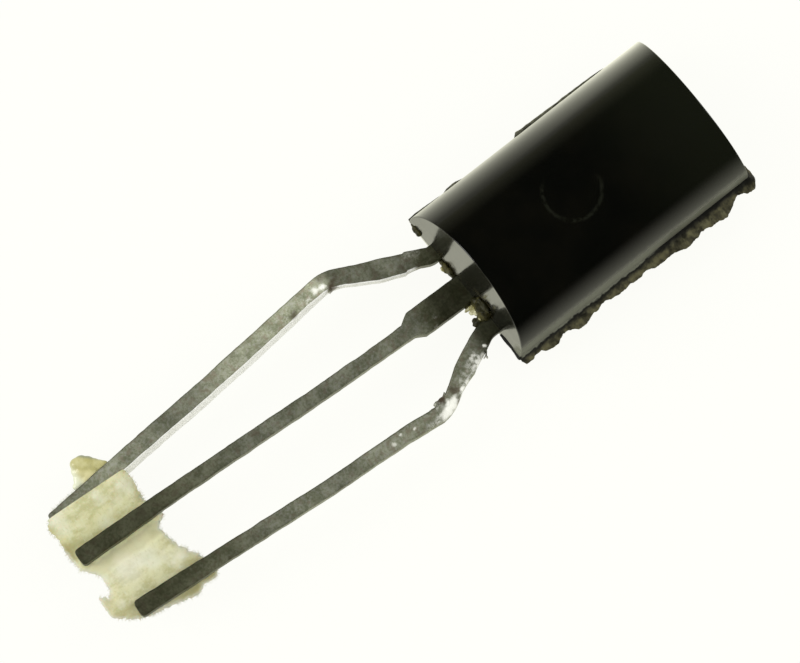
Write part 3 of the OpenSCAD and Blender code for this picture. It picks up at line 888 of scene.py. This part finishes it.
def ring_patch(points, edge):
    """Round rows that carry the ejector's groove, joined to the skin's square opening."""
    middle = Vector((0, RING_Y))
    faces, inner = [], None
    reach = [Vector((points[v][0], points[v][1])) - middle for v in edge]
    last_radius = RING_GROOVE[-1][0]
    rings = [[(d.normalized() * radius, depth) for d in reach] for radius, depth in RING_GROOVE]
    rings += [[(d.normalized() * last_radius * (1 - t) + d * t, 0.0) for d in reach]
              for t in (0.33, 0.66)]
    hub = len(points)
    points.append((0, RING_Y, PARTING_Z + BACK_RADIUS - RING_GROOVE[0][1]))
    size = len(edge)
    for ring in rings:
        row = list(range(len(points), len(points) + size))
        for spot, depth in ring:
            rise = math.sqrt(BACK_RADIUS ** 2 - spot.x ** 2)
            points.append((spot.x, RING_Y + spot.y, PARTING_Z + rise - depth))
        for i in range(size):
            k = (i + 1) % size
            faces.append((hub, row[i], row[k]) if inner is None
                         else (inner[i], row[i], row[k], inner[k]))
        inner = row
    faces += [(inner[i], edge[i], edge[(i + 1) % size], inner[(i + 1) % size])
              for i in range(size)]
    return faces


BLACK = (0.0020, 0.0020, 0.0012)
BLACK_LOW = (0.0012, 0.0014, 0.0009, 1)
BLACK_HIGH = (0.0026, 0.0024, 0.0014, 1)
BLACK_FAR = (0.0062, 0.0072, 0.0036, 1)         # towards the far end
RING_DULL_AND_SHEEN = (0.009, 0.010, 0.006, 1)
RING_HALF, RING_CORE = 0.085, 0.01              # from the groove's middle to the dull ring's edge
RING_SHEEN_START, RING_SHEEN_END = -0.15, 0.25              # where the ring's painted sheen fades out on its base side
SIDE_SHEEN_GREY = (0.150, 0.155, 0.110, 1)
SHEEN_STRIP_TOP, SHEEN_STRIP_FULL = 2.30, 1.88                # how high the dulled strip with its painted sheen reaches
ROOT_STAIN = (0.024, 0.020, 0.006, 1)
ROOT_STAINS = [(0.62, 2.30, 0.45, 0.7), (-0.58, 1.95, 0.40, 0.5), (0.95, 1.90, 0.30, 0.5),
               (-0.95, 1.75, 0.35, 0.5)]        # [x, z, radius, strength]
STAIN_Y = -4.05                     # on the end that the leads come from
END_WAVES = 0.005                   # the end is a little less flat than the back, in mm
SKIN_GRAIN = 0.0006                 # depth of the skin's own grain, in mm

moulding = make_moulding()
epoxy, shader, spot = finish_of("polished_black_epoxy", BLACK, 0.16, IOR=1.55,
                                Coat_Weight=0.75, Coat_Roughness=0.09, Coat_IOR=1.5)
fine = grain(spot, 9, 4)
broad = grain(spot, 0.8, 2, seed=3.0)
at = axes(spot)
colour = mixed(ramp(broad, 0.35, 0.7), BLACK_LOW, BLACK_HIGH)
colour = mixed(ramp(at["Y"], 0.0, 4.0), colour, BLACK_FAR)
# The ejector's ring is a little duller than the skin, and painted lighter there as a painted
# sheen, which fades out on its base side.
from_ring = distance_from(spot, (0, RING_Y, PARTING_Z + BACK_RADIUS))
off_ring = reckon("ABSOLUTE", minus(from_ring, RING_RADIUS))
towards_base = minus(times(at["Y"], 0.5), times(at["X"], 0.87))
ring = times(ramp(off_ring, RING_HALF, RING_CORE), ramp(fine, 0.35, 0.6),
             ramp(towards_base, RING_SHEEN_END, RING_SHEEN_START), ramp(at["Z"], 3.0, 3.3))
colour = mixed(ring, colour, RING_DULL_AND_SHEEN)
# So is the strip beside the emitter side's flash, which is also painted grey there as a
# painted sheen.
uneven = plus(at["Z"], ramp(fine, 0.3, 0.7, -0.05, 0.05))
dulled = times(ramp(uneven, SHEEN_STRIP_TOP, SHEEN_STRIP_FULL),
               ramp(at["Z"], PARTING_Z - 0.01, PARTING_Z),
               ramp(at["X"], 2.0, 2.3), ramp(at["Y"], 1.4, 0.4, 0.75, 1.0))
colour = mixed(dulled, colour, SIDE_SHEEN_GREY)
# Bled resin stains the end round the leads' roots.
stained = grain(spot, 3.0, 2, 0.5, seed=6.0)
on_end = ramp(at["Y"], -3.95, -4.0)
for x, z, radius, strength in ROOT_STAINS:
    near = plus(distance_from(spot, (x, STAIN_Y, z)),
                ramp(stained, 0.3, 0.7, 0.14, -0.10))
    share = times(ramp(near, radius, radius * 0.4, 0.0, strength), on_end)
    colour = mixed(share, colour, ROOT_STAIN)
    dulled = reckon("MAXIMUM", dulled, share)
feed(shader.inputs["Base Color"], colour)
feed(shader.inputs["Coat Weight"], ramp(dulled, 0.0, 1.0, 0.75, 0.05))
feed(shader.inputs["Roughness"], reckon(
    "MAXIMUM", ramp(fine, 0.3, 0.8, 0.12, 0.22), times(dulled, 0.55)))
waves = bumped(shader, times(stained, on_end), END_WAVES)
bumped(shader, fine, SKIN_GRAIN, under=waves)
moulding.data.materials.append(epoxy)
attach(moulding, "root")
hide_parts("epoxy_body")

# ---- The mould flash ----
# Thin resin that squeezed out between the mould halves and was broken off roughly. Most is
# left on the emitter side and at its far corner; the base side broke off short.

FLASH_THICK = 0.08
FLASH_ROOT = 0.07                   # how deep the flash is rooted in the moulding
FLASH_STEP = 0.02                   # distance between its stations along the parting line
FLASH_DROOP = 0.32                  # how far it falls away on the emitter side
FLASH_BEND = 0.18                   # and how far out it has fallen most of that
FLASH_LIMIT = (2.952, 4.298)        # as far as the flash reaches to +X and +Y
# How far it reaches outwards, each [place, reach]: on the emitter side, the lead end, round
# the far corner, the far end and the base side. A place is a share of the half length or
# half width, but x in mm at the lead end, and degrees round the corner.
FLASH_EAST = [(-1, 0.12), (-0.98, 0.22), (-0.85, 0.22), (-0.79, 0.31), (-0.72, 0.34),
              (-0.66, 0.21), (-0.61, 0.22), (-0.56, 0.36), (-0.49, 0.40), (-0.44, 0.31),
              (-0.37, 0.28), (-0.32, 0.22), (-0.18, 0.31), (0, 0.29), (0.06, 0.25),
              (0.12, 0.34), (0.29, 0.36), (0.37, 0.46), (0.45, 0.47), (0.52, 0.35),
              (0.66, 0.45), (0.73, 0.46), (0.80, 0.35), (0.87, 0.20), (0.92, 0.23),
              (0.97, 0.35), (1.0, 0.37)]
FLASH_NEAR = [(1.62, 0.03), (1.8, 0.045), (2.1, 0.035), (2.3, 0.05), (2.45, 0.06)]
FLASH_TURN = [(0, 0.37), (25, 0.265), (51, 0.235), (90, 0.20)]
FLASH_FAR = [(1.0, 0.20), (0.93, 0.19), (0.87, 0.17), (0.80, 0.06), (0.5, 0.05), (0.1, 0.06),
             (-0.4, 0.04), (-0.7, 0.05), (-0.98, 0.02)]
FLASH_WEST = [(0.73, 0.01), (0.68, 0.05), (0.56, 0.07), (0.41, 0.085), (0.24, 0.09),
              (0.07, 0.11), (-0.05, 0.12), (-0.08, 0.02), (-0.53, 0.02), (-0.59, 0.08),
              (-0.66, 0.07), (-0.70, 0.02), (-0.78, 0.04), (-0.93, 0.07), (-1, 0.04)]


def read_off(table, at):
    """Straight-line reading of a list of (place, value) whose places rise or fall."""
    rows = sorted(table)
    return float(np.interp(at, [r[0] for r in rows], [r[1] for r in rows]))


def make_flash(name, stations, seed, fall, chips):
    """A thin fin along stations of (root x, root y, outward x, outward y, reach), which falls
    away outwards and is chipped more or less."""
    across = [0.0, 0.12, 0.3, 0.5, 0.7, 0.85, 0.95, 1.0]
    points, rows = [], []
    run = 0.0
    for s, (x, y, out_x, out_y, reach) in enumerate(stations):
        if s:
            run += math.hypot(x - stations[s - 1][0], y - stations[s - 1][1])
        chip = rough(run * 2.6, seed) * 0.05 + rough(run * 6.0, seed + 4, 0, 3) * 0.022
        full = max(0.012, reach + chips * chip * min(1.0, reach / 0.12))
        curl = rough(run * 0.8, seed + 9) * 0.03
        ridge = rough(run * 7.0, seed + 2, 0, 3) * 0.022
        top, bottom = [], []
        for t in across:
            d = -FLASH_ROOT + (full + FLASH_ROOT) * t
            slant = rough(run * 3.0, seed + 5) * 0.03 * t
            px, py = x + out_x * d - out_y * slant, y + out_y * d + out_x * slant
            pit = rough(px * 8, py * 8, seed + 7, 3) * 0.012
            thick = FLASH_THICK * (1.15 - 0.55 * t ** 3)
            droop = fall * (1 - math.exp(-max(d, 0) / FLASH_BEND))
            lift = (curl * t * t + ridge * math.sin(math.pi * min(1, t * 1.2)) + pit * t
                    - droop)
            px, py = min(px, FLASH_LIMIT[0]), min(py, FLASH_LIMIT[1])
            top.append((px, py, PARTING_Z + thick / 2 + lift))
            bottom.append((px, py, PARTING_Z - thick / 2 + lift + ridge * 0.3))
        ring = top + bottom[::-1]
        rows.append(list(range(len(points), len(points) + len(ring))))
        points += ring
    fin = mesh_object(name, points, tube_faces(rows))
    turn_outwards(fin)
    fin.data.shade_smooth()
    return fin


def straight_run(start, end, side, table, half):
    """Stations along one side, given by its outward (x, y), from start to end."""
    found = []
    for v in np.arange(start, end, math.copysign(FLASH_STEP, end - start)):
        x, y = (side[0] * BACK_RADIUS, v) if side[0] else (v, side[1] * HALF_LENGTH)
        found.append((x, y, *side, read_off(table, v / half)))
    return found


def corner_run(end, angles, table):
    """Stations round a corner on the emitter side, at the far end (1) or the leads' end (-1)."""
    return [(BACK_RADIUS, end * HALF_LENGTH, math.cos(math.radians(a)),
             math.sin(math.radians(a)), read_off(table, a)) for a in angles]


EMITTER_SIDE = (straight_run(-HALF_LENGTH, HALF_LENGTH, (1.0, 0.0), FLASH_EAST, HALF_LENGTH)
                + corner_run(1, np.linspace(0, 90, 14)[:-1], FLASH_TURN)
                + straight_run(BACK_RADIUS, -BACK_RADIUS, (0.0, 1.0), FLASH_FAR, BACK_RADIUS))
BASE_SIDE = straight_run(FLASH_WEST[0][0] * HALF_LENGTH, -HALF_LENGTH, (-1.0, 0.0), FLASH_WEST,
                         HALF_LENGTH)
LEAD_END = (straight_run(FLASH_NEAR[0][0], BACK_RADIUS, (0.0, -1.0), FLASH_NEAR, 1.0)
            + corner_run(-1, np.linspace(-90, -5, 10), FLASH_NEAR[-1:]))

FLASH_DARK = (0.006, 0.006, 0.003, 1)           # its root, against the moulding
FLASH_BROWN = (0.030, 0.027, 0.009, 1)
FLASH_OLIVE = (0.102, 0.092, 0.034, 1)
FLASH_STREAK = (0.150, 0.142, 0.061, 1)
FLASH_THIN = (0.21, 0.21, 0.13, 1)              # the base side's short fin
flash_resin, shader, spot = finish_of("broken_flash", (0.06, 0.057, 0.035), 0.5, IOR=1.5)
clouds = grain(spot, 3.2, 5, 0.65)
streaks = grain(spot, 6.5, 3, 0.6, (0.25, 1.0, 1.0), 5.0)
at = axes(spot)
tone = mixed(ramp(clouds, 0.36, 0.66), FLASH_BROWN, FLASH_OLIVE)
tone = mixed(ramp(streaks, 0.46, 0.72, 0.0, 0.7), tone, FLASH_STREAK)
tone = mixed(ramp(at["X"], 0.0, -2.0, 0.0, 0.75), tone, FLASH_THIN)
reach = reckon("MAXIMUM", minus(reckon("ABSOLUTE", at["X"]), BACK_RADIUS),
               minus(at["Y"], HALF_LENGTH))
reach = plus(reach, ramp(clouds, 0.35, 0.65, -0.03, 0.03))
reach = plus(reach, ramp(at["X"], 0.0, -2.0, 0.0, 0.09))
# At the moulding, the emitter side's flash root carries on that painted sheen.
at_body = mixed(ramp(at["Y"], 0.2, 1.0), SIDE_SHEEN_GREY, FLASH_DARK)
at_body = mixed(ramp(at["Y"], -4.0, -4.08), at_body, FLASH_DARK)
root = mixed(ramp(reach, 0.01, 0.06), at_body, FLASH_DARK)
feed(shader.inputs["Base Color"], mixed(ramp(reach, 0.05, 0.24), root, tone))
feed(shader.inputs["Roughness"], ramp(clouds, 0.3, 0.7, 0.38, 0.7))
bumped(shader, grain(spot, 9, 5, 0.6), 0.010)

for fin in (make_flash("flash_emitter_side", EMITTER_SIDE, 1.0, FLASH_DROOP, 1.0),
            make_flash("flash_base_side", BASE_SIDE, 31.0, 0.0, 0.3),
            make_flash("flash_lead_end", LEAD_END, 51.0, 0.1, 0.3)):
    fin.data.materials.append(flash_resin)
    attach(fin, "root")
    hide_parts("epoxy_body")

# ---- Resin bled out between the leads ----
# Resin crept out of the mould between the leads and set in small amber lumps against the end.
# Brittle flakes of it whitened where the leads were formed.

AMBER_LUMPS = [(-0.97, -4.11, 1.46, 0.11, 0.07, 0.13), (-0.80, -4.12, 1.50, 0.16, 0.08, 0.20),
               (-0.60, -4.11, 1.52, 0.16, 0.09, 0.22), (-0.46, -4.10, 1.50, 0.10, 0.08, 0.14),
               (-0.72, -4.18, 1.44, 0.08, 0.06, 0.08), (0.52, -4.11, 1.56, 0.18, 0.13, 0.28),
               (0.74, -4.13, 1.62, 0.22, 0.16, 0.36), (0.94, -4.16, 1.58, 0.18, 0.20, 0.34),
               (0.80, -4.06, 2.05, 0.20, 0.08, 0.22), (0.58, -4.05, 1.95, 0.12, 0.07, 0.20),
               (0.97, -4.38, 1.46, 0.11, 0.17, 0.15), (0.88, -4.42, 1.44, 0.09, 0.09, 0.11),
               (0.45, -4.28, 1.45, 0.07, 0.16, 0.10), (-2.14, -4.10, 1.46, 0.13, 0.09, 0.12),
               (-2.02, -4.10, 1.48, 0.12, 0.09, 0.12), (-2.28, -4.09, 1.45, 0.09, 0.04, 0.05)]
PALE_FLAKES = [(0.60, -4.27, 1.60, 0.11, 0.09, 0.05), (0.67, -4.22, 1.66, 0.09, 0.09, 0.05),
               (0.66, -4.34, 1.54, 0.08, 0.10, 0.04), (0.52, -4.38, 1.50, 0.05, 0.12, 0.04),
               (0.54, -4.30, 1.54, 0.07, 0.09, 0.04), (0.76, -4.28, 1.58, 0.07, 0.07, 0.04),
               # The last flake is a pale speck that stands for a painted glint on the amber.
               (-0.81, -4.22, 1.47, 0.08, 0.05, 0.05), (0.95, -4.33, 1.74, 0.05, 0.03, 0.03)]


def melted(name, lumps, seed, roughness, voxel, smooth_steps):
    """Uneven lumps, each (x, y, z, reach along x, y and z), run together into one skin."""
    work = bmesh.new()
    for k, (x, y, z, *reach) in enumerate(lumps):
        ball = bmesh.ops.create_icosphere(work, subdivisions=4, radius=1.0)
        for v in ball["verts"]:
            d = v.co.copy()
            swell = 1 + roughness * rough(d.x * 1.7 + seed, d.y * 1.7 + k, d.z * 1.7, 3)
            v.co = Vector((x + d.x * reach[0] * swell, y + d.y * reach[1] * swell,
                           z + d.z * reach[2] * swell))
    mesh = bpy.data.meshes.new(name)
    work.to_mesh(mesh)
    work.free()
    shape = bpy.data.objects.new(name, mesh)
    scene.collection.objects.link(shape)
    remesh = shape.modifiers.new("run_together", "REMESH")
    remesh.mode = "VOXEL"
    remesh.voxel_size = voxel
    even = shape.modifiers.new("even_out", "SMOOTH")
    even.iterations = smooth_steps
    make_solid(shape)
    shape.data.transform([[MM, 0, 0, 0], [0, MM, 0, 0], [0, 0, MM, 0], [0, 0, 0, 1]])
    shape.data.shade_smooth()
    return shape


AMBER_DARK = (0.020, 0.019, 0.003, 1)
AMBER_LIGHT = (0.075, 0.066, 0.012, 1)
FLAKE_DARK = (0.25, 0.23, 0.08, 1)
FLAKE_PALE = (0.62, 0.60, 0.38, 1)

amber, shader, spot = finish_of("amber_resin", (0.04, 0.03, 0.01), 0.4, IOR=1.45)
cloud = grain(spot, 3.0, 3, 0.55)
feed(shader.inputs["Base Color"], mixed(ramp(cloud, 0.4, 0.65), AMBER_DARK, AMBER_LIGHT))
feed(shader.inputs["Roughness"], ramp(cloud, 0.3, 0.7, 0.42, 0.65))
bumped(shader, grain(spot, 8, 4, 0.6), 0.004)

flaked, shader, spot = finish_of("whitened_resin", (0.72, 0.68, 0.45), 0.35, IOR=1.5)
cloud = grain(spot, 5, 3, 0.55)
feed(shader.inputs["Base Color"], mixed(ramp(cloud, 0.38, 0.62), FLAKE_DARK, FLAKE_PALE))
feed(shader.inputs["Roughness"], ramp(cloud, 0.3, 0.7, 0.3, 0.6))
bumped(shader, cloud, 0.008)

for piece, resin in ((melted("resin_bleed", AMBER_LUMPS, 3.0, 0.16, 0.016, 10), amber),
                     (melted("resin_flakes", PALE_FLAKES, 8.0, 0.25, 0.008, 3), flaked)):
    piece.data.materials.append(resin)
    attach(piece, "root")
    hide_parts("epoxy_body")

# ---- The scrap of paper tape ----
# Cream paper that held the leads in their carrier tape, torn off with the part. One side is
# cut straight, and lies over the base leg; the rest is torn and fibrous, stained by its glue.

PAPER = 0.18                        # its thickness
PAPER_LOW = 1.07                    # its underside, below the collector and emitter legs
PAPER_RISE = 0.10                   # how much it is raised over the base leg
RISE_START, RISE_RUN = -1.05, 0.65  # the x where it starts to rise, and how soon it is up
TORN = [(-1.92, -14.5), (-1.25, -14.56), (-0.9, -14.6), (-0.3, -14.45), (-0.05, -14.78),
        (0.5, -14.7), (0.95, -14.5), (1.35, -14.32), (1.86, -14.25), (1.96, -14.38),
        (1.94, -14.75), (2.05, -14.96), (1.90, -15.66), (1.71, -16.33), (1.48, -16.88),
        (1.1, -17.27), (0.8, -17.27), (0.45, -17.24), (0.62, -17.05), (0.45, -16.88),
        (0, -16.85), (-0.45, -17.15), (-0.95, -17.2), (-1.45, -17.13), (-1.9, -17.18),
        (-2.10, -17.03)]
TEAR_STEP = 0.03                    # distance between the points of the tear
TORN_STRIP = 0.22                   # how far in from the tear the sheet is thinned
TORN_SHARE = 0.30                   # share of its thickness that is left at the tear
TORN_SAG = 0.03
PAPER_CELL = 0.075                  # distance between the points inside the sheet
PAPER_AREA = (-2.3, 2.3, -17.4, -14.0)          # the x and y that those points lie between
CELL_SHIFT = 0.02                   # how far each is moved at random
EDGE_GAP = 0.03                     # how far they keep from the outline
FIBRES = 520                        # loose hairs along the tear
WISPS = 420                         # and beside the base leg
WISP_LOW, WISP_HIGH = -16.75, -15.6             # the y that the wisps lie between
HAIR = 0.0055                       # a hair's radius at its root
PAPER_END = -17.31                  # no hair reaches past here


def torn_line(corners):
    """The torn outline, ragged at several scales, with its straight cut last."""
    line, run = [], 0.0
    for a, b in zip(corners, corners[1:]):
        a, b = Vector(a), Vector(b)
        length = (b - a).length
        aside = Vector((-(b - a).y, (b - a).x)) / length
        parts = max(2, round(length / TEAR_STEP))
        for k in range(parts):
            t = run + length * k / parts
            jag = rough(t * 1.9, 3.3) * 0.05 + rough(t * 7, 6.1, 0, 5) * 0.045
            line.append(a.lerp(b, k / parts) + aside * jag * math.sin(
                math.pi * min(1, max(0.25, k / parts))) ** 0.3)
        run += length
    start, end = Vector(corners[-1]), Vector(corners[0])
    cut = [start.lerp(end, t) for t in np.linspace(0, 1, 40)]
    return line + cut[:-1], len(line)


def distance_to(p, line):
    """The distance from a point to the nearest part of a line."""
    best = 9.0
    for a, b in zip(line, line[1:]):
        run = b - a
        t = max(0.0, min(1.0, (p - a).dot(run) / max(run.length_squared, 1e-12)))
        best = min(best, (p - a - run * t).length)
    return best


def inside_line(p, line):
    """Whether a point lies inside a closed outline."""
    hit = False
    for a, b in zip(line, line[1:] + line[:1]):
        if (a.y > p.y) != (b.y > p.y) and p.x < (b.x - a.x) * (p.y - a.y) / (b.y - a.y) + a.x:
            hit = not hit
    return hit


def fibre(points, faces, start, heading, length, dice):
    """A hair of paper: a thin curled tube that ends in a point."""
    steps, sides = 5, 4
    at = Vector(start)
    way = Vector(heading).normalized()
    bend = Vector((dice.uniform(-1, 1), dice.uniform(-1, 1), dice.uniform(-0.5, 0.5))) * 0.55
    hair = []
    for k in range(steps + 1):
        thin = HAIR * (1 - 0.75 * k / steps)
        side = way.cross(Vector((0, 0, 1))).normalized()
        over = side.cross(way).normalized()
        for c in range(sides):
            a = math.tau * c / sides
            hair.append(at + side * math.cos(a) * thin + over * math.sin(a) * thin)
        way = (way + bend / steps).normalized()
        at = at + way * length / steps
    if min(q.y for q in hair) < PAPER_END:
        return
    first = len(points)
    points += [tuple(q) for q in hair]
    faces += tube_faces([list(range(first + k * sides, first + (k + 1) * sides))
                         for k in range(steps + 1)])


def points_inside(outline, dice):
    """Points on a grid, each moved a little, that lie inside the outline."""
    left, right, low, high = PAPER_AREA
    found = []
    for x in np.arange(left, right, PAPER_CELL):
        for y in np.arange(low, high, PAPER_CELL):
            p = Vector((x + dice.uniform(-CELL_SHIFT, CELL_SHIFT),
                        y + dice.uniform(-CELL_SHIFT, CELL_SHIFT)))
            if inside_line(p, outline):
                found.append(p)
    return [p for p in found if distance_to(p, outline + outline[:1]) > EDGE_GAP]


def add_hairs(points, faces, torn, dice):
    """Loose fibres along the tear, and the wisps that show beside the base leg."""
    for _ in range(FIBRES):
        k = dice.randrange(1, len(torn))
        run = torn[k] - torn[k - 1]
        place = torn[k - 1].lerp(torn[k], dice.random())
        heading = Vector((-run.y, run.x, 0)).normalized() + Vector(
            (dice.uniform(-0.9, 0.9), dice.uniform(-0.9, 0.9), dice.uniform(-0.2, 0.3)))
        start = (place.x, place.y, PAPER_LOW + dice.uniform(0.03, 0.10))
        fibre(points, faces, start, heading, dice.uniform(0.02, 0.11), dice)
    for _ in range(WISPS):
        y = dice.uniform(WISP_LOW, WISP_HIGH)
        start = (-2.20 - 0.06 * (y + 16), y, dice.uniform(0.86, 1.0))
        heading = (-1, dice.uniform(-1.2, 0.9), dice.uniform(-0.1, 0.3))
        fibre(points, faces, start, heading, dice.uniform(0.06, 0.22), dice)


def make_paper():
    """The sheet between its upper and lower skins, and the hairs that hang from it."""
    outline, torn_count = torn_line(TORN)
    dice = random.Random(5)
    vertices = outline + points_inside(outline, dice)
    torn = outline[:torn_count + 1]
    edges = [(i, (i + 1) % len(outline)) for i in range(len(outline))]
    flat, _, skin, _, _, _ = geometry.delaunay_2d_cdt(vertices, edges, [], 1, 1e-5)
    points, lows, size = [], [], len(flat)
    for p in flat:
        rise = PAPER_RISE * min(1, max(0, (RISE_START - p.x) / RISE_RUN))
        worn = min(1.0, distance_to(p, torn) / TORN_STRIP)
        thick = PAPER * (TORN_SHARE + (1 - TORN_SHARE) * worn ** 0.6)
        wave = rough(p.x * 0.9, p.y * 0.9, 2.0, 3) * 0.020 + rough(p.x * 6, p.y * 6, 4.0, 3) * 0.006
        low = PAPER_LOW + rise - TORN_SAG * (1 - worn) + (PAPER - thick) * 0.4
        points.append((p.x, p.y, low + wave * 0.6 + thick))
        lows.append((p.x, p.y, low + wave * 0.4))
    points += lows
    faces = [tuple(f) for f in skin] + [tuple(i + size for i in f[::-1]) for f in skin]
    rim = dict.fromkeys((a, b) for f in skin for a, b in zip(f, f[1:] + f[:1]))
    faces += [(b, a, a + size, b + size) for a, b in rim if (b, a) not in rim]
    add_hairs(points, faces, torn, dice)
    paper = mesh_object("paper_tape", points, faces)
    turn_outwards(paper)
    paper.data.shade_smooth()
    paper.data.set_sharp_from_angle(angle=math.radians(60))
    return paper


def from_leg(at, x, slope):
    """How far to +X a place is of a leg, whose middle is at x where y is LEG_Y."""
    middle = plus(x, times(minus(at["Y"], LEG_Y), slope))
    return minus(at["X"], middle)


PAPER_CREAM = (0.66, 0.65, 0.395, 1)
PAPER_DULL = (0.50, 0.49, 0.25, 1)
PAPER_PALE = (0.74, 0.75, 0.58, 1)
# Glue stain, which beside the emitter leg is also painted shadow
PAPER_GLUE_AND_SHADE = (0.33, 0.30, 0.12, 1)
PAPER_THIN = (0.66, 0.67, 0.54, 1)
# Painted light, beside the collector leg
PAPER_LIT = (0.90, 0.90, 0.58, 1)
PAPER_YELLOWED = (1.0, 1.0, 0.92, 1)
PAPER_BLANK = (0.86, 0.86, 0.74, 1)
PAPER_PATCHES = [(0.30, -16.15, 0.60, 0.45, PAPER_BLANK), (0.97, -16.86, 0.20, 0.5, PAPER_BLANK),
                 (0.97, -14.74, 0.24, 0.4, PAPER_BLANK), (-1.05, -17.20, 0.40, 0.85, PAPER_GLUE_AND_SHADE),
                 (-0.54, -16.92, 0.26, 0.6, PAPER_GLUE_AND_SHADE), (-0.03, -15.03, 0.20, 0.25, PAPER_GLUE_AND_SHADE),
                 (1.14, -16.64, 0.14, 0.5, PAPER_GLUE_AND_SHADE)]        # [x, y, radius, strength, tint]
LEG_Y = -15.0                       # where along the legs the next two are measured
COLLECTOR_LINE = (-0.22, 0.0586)    # the collector leg's x at LEG_Y, and how it slopes with y
EMITTER_LINE = (1.68, 0.095)
LEG_HALF = 0.24                     # from the middle of a leg to just beside it

paper = make_paper()
made, shader, spot = finish_of("torn_cream_paper", (0.66, 0.64, 0.44), 0.85,
                               Subsurface_Weight=0.12, Subsurface_Scale=0.0002)
fibres = grain(spot, 2.6, 6, 0.62, (1.4, 0.7, 1))
cross = grain(spot, 11, 5, 0.7, (0.7, 1.5, 1), 4.0)
blotch = grain(spot, 1.1, 3, 0.55, seed=9.0)
colour = mixed(ramp(fibres, 0.36, 0.60), PAPER_DULL, PAPER_CREAM)
colour = mixed(ramp(blotch, 0.46, 0.66, 0.0, 0.7), colour, PAPER_PALE)
colour = mixed(ramp(cross, 0.54, 0.70, 0.0, 0.45), colour, PAPER_PALE)
colour = mixed(ramp(cross, 0.46, 0.34, 0.0, 0.45), colour, PAPER_DULL)
at = axes(wavering(spot, 2.5, 0.3))
# Beside the collector leg the paper is painted lighter, painted light against the leg's
# shadow. Beside the emitter leg it is darker, partly glue drawn into it and partly painted
# shadow. It is darker in a thin line along the collector leg's +X side, and yellowed on
# the side of the base leg.
for line, reach, strength, tint in ((COLLECTOR_LINE, 0.48, 0.65, PAPER_LIT),
                                    (EMITTER_LINE, 0.50, 0.40, PAPER_GLUE_AND_SHADE)):
    off = reckon("ABSOLUTE", from_leg(at, *line))
    colour = mixed(ramp(off, LEG_HALF, reach, strength, 0.0), colour, tint)
off = from_leg(at, *COLLECTOR_LINE)
thin_line = times(ramp(off, 0.40, 0.28), ramp(off, -0.10, 0.0, 0.0, 0.35))
colour = mixed(thin_line, colour, PAPER_GLUE_AND_SHADE)
base_side = times(ramp(off, -1.5, -1.0), ramp(off, 0.0, -0.10))
colour = mixed(base_side, colour, PAPER_YELLOWED, "MULTIPLY")
patchy = wavering(spot, 4.0, 0.2)
for x, y, radius, strength, tint in PAPER_PATCHES:
    share = times(near_to(patchy, (x, y, PAPER_LOW + 0.1), radius), strength)
    colour = mixed(share, colour, tint)
# It is dirty along the tear, and paler and greyer where it tore thin.
for axis, clean, dirty, strength in (("Y", -16.80, -17.15, 0.25), ("X", 1.55, 1.90, 0.4),
                                     ("Y", -14.85, -14.50, 0.25)):
    colour = mixed(ramp(at[axis], clean, dirty, 0.0, strength), colour, PAPER_GLUE_AND_SHADE)
height = axes(spot)["Z"]
colour = mixed(ramp(height, 1.21, 1.14, 0.0, 0.8), colour, PAPER_THIN)
feed(shader.inputs["Base Color"], colour)
bumped(shader, cross, 0.015, under=bumped(shader, fibres, 0.03))
paper.data.materials.append(made)
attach(paper, "root")
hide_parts("tape_paper")

# ---- The bead of glue ----
# The tape's yellow glue, a soft clear resin. It welled out past the base leg under the paper
# and set there as a rounded bead.

GLUE_LOBES = [(-2.88, -15.46, 0.96, 0.18, 0.19, 0.15), (-2.84, -15.33, 0.97, 0.20, 0.21, 0.17),
              (-2.70, -15.22, 0.98, 0.22, 0.23, 0.17), (-2.57, -15.08, 0.98, 0.18, 0.18, 0.14),
              (-2.46, -14.98, 0.98, 0.16, 0.17, 0.12), (-2.40, -14.88, 0.97, 0.12, 0.14, 0.10),
              (-2.66, -15.44, 0.95, 0.22, 0.22, 0.15), (-2.46, -15.30, 0.95, 0.22, 0.24, 0.15),
              (-2.70, -15.60, 0.93, 0.18, 0.14, 0.10), (-2.50, -15.62, 0.92, 0.20, 0.20, 0.09),
              (-2.38, -15.50, 0.93, 0.16, 0.20, 0.10), (-2.40, -15.78, 0.91, 0.12, 0.18, 0.07)]
GLUE_DEEP = (0.46, 0.43, 0.17, 1)
GLUE_LIGHT = (0.58, 0.55, 0.27, 1)
GLUE_RIM_SHADE = (0.28, 0.30, 0.20, 1)
GLUE_NEAR = (0.74, 0.69, 0.38, 1)
GLUE_THIN = (0.78, 0.80, 0.60, 1)
RIM_START, RIM_FULL = -12.40, -12.22            # across the bead, as y less x
NEAR_START, NEAR_FULL = -12.70, -12.95
THIN_START, THIN_FULL = -15.50, -15.75          # along the leg, as y

glue = melted("glue_bead", GLUE_LOBES, 12.0, 0.02, 0.018, 30)
made, shader, spot = finish_of("yellow_glue", (0.60, 0.52, 0.24), 0.28, IOR=1.47,
                               Coat_Weight=0.3)
cloud = grain(spot, 3.0, 4, 0.6)
colour = mixed(ramp(cloud, 0.35, 0.65), GLUE_DEEP, GLUE_LIGHT)
# Its far rim is greyer, as painted shade, and it is palest where it thins out along the leg.
at = axes(spot)
across = minus(at["Y"], at["X"])
colour = mixed(ramp(across, RIM_START, RIM_FULL), colour, GLUE_RIM_SHADE)
colour = mixed(ramp(across, NEAR_START, NEAR_FULL, 0.0, 0.6), colour, GLUE_NEAR)
colour = mixed(ramp(at["Y"], THIN_START, THIN_FULL), colour, GLUE_THIN)
feed(shader.inputs["Base Color"], colour)
bumped(shader, cloud, 0.008)
glue.data.materials.append(made)
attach(glue, "root")
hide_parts("tape_glue")
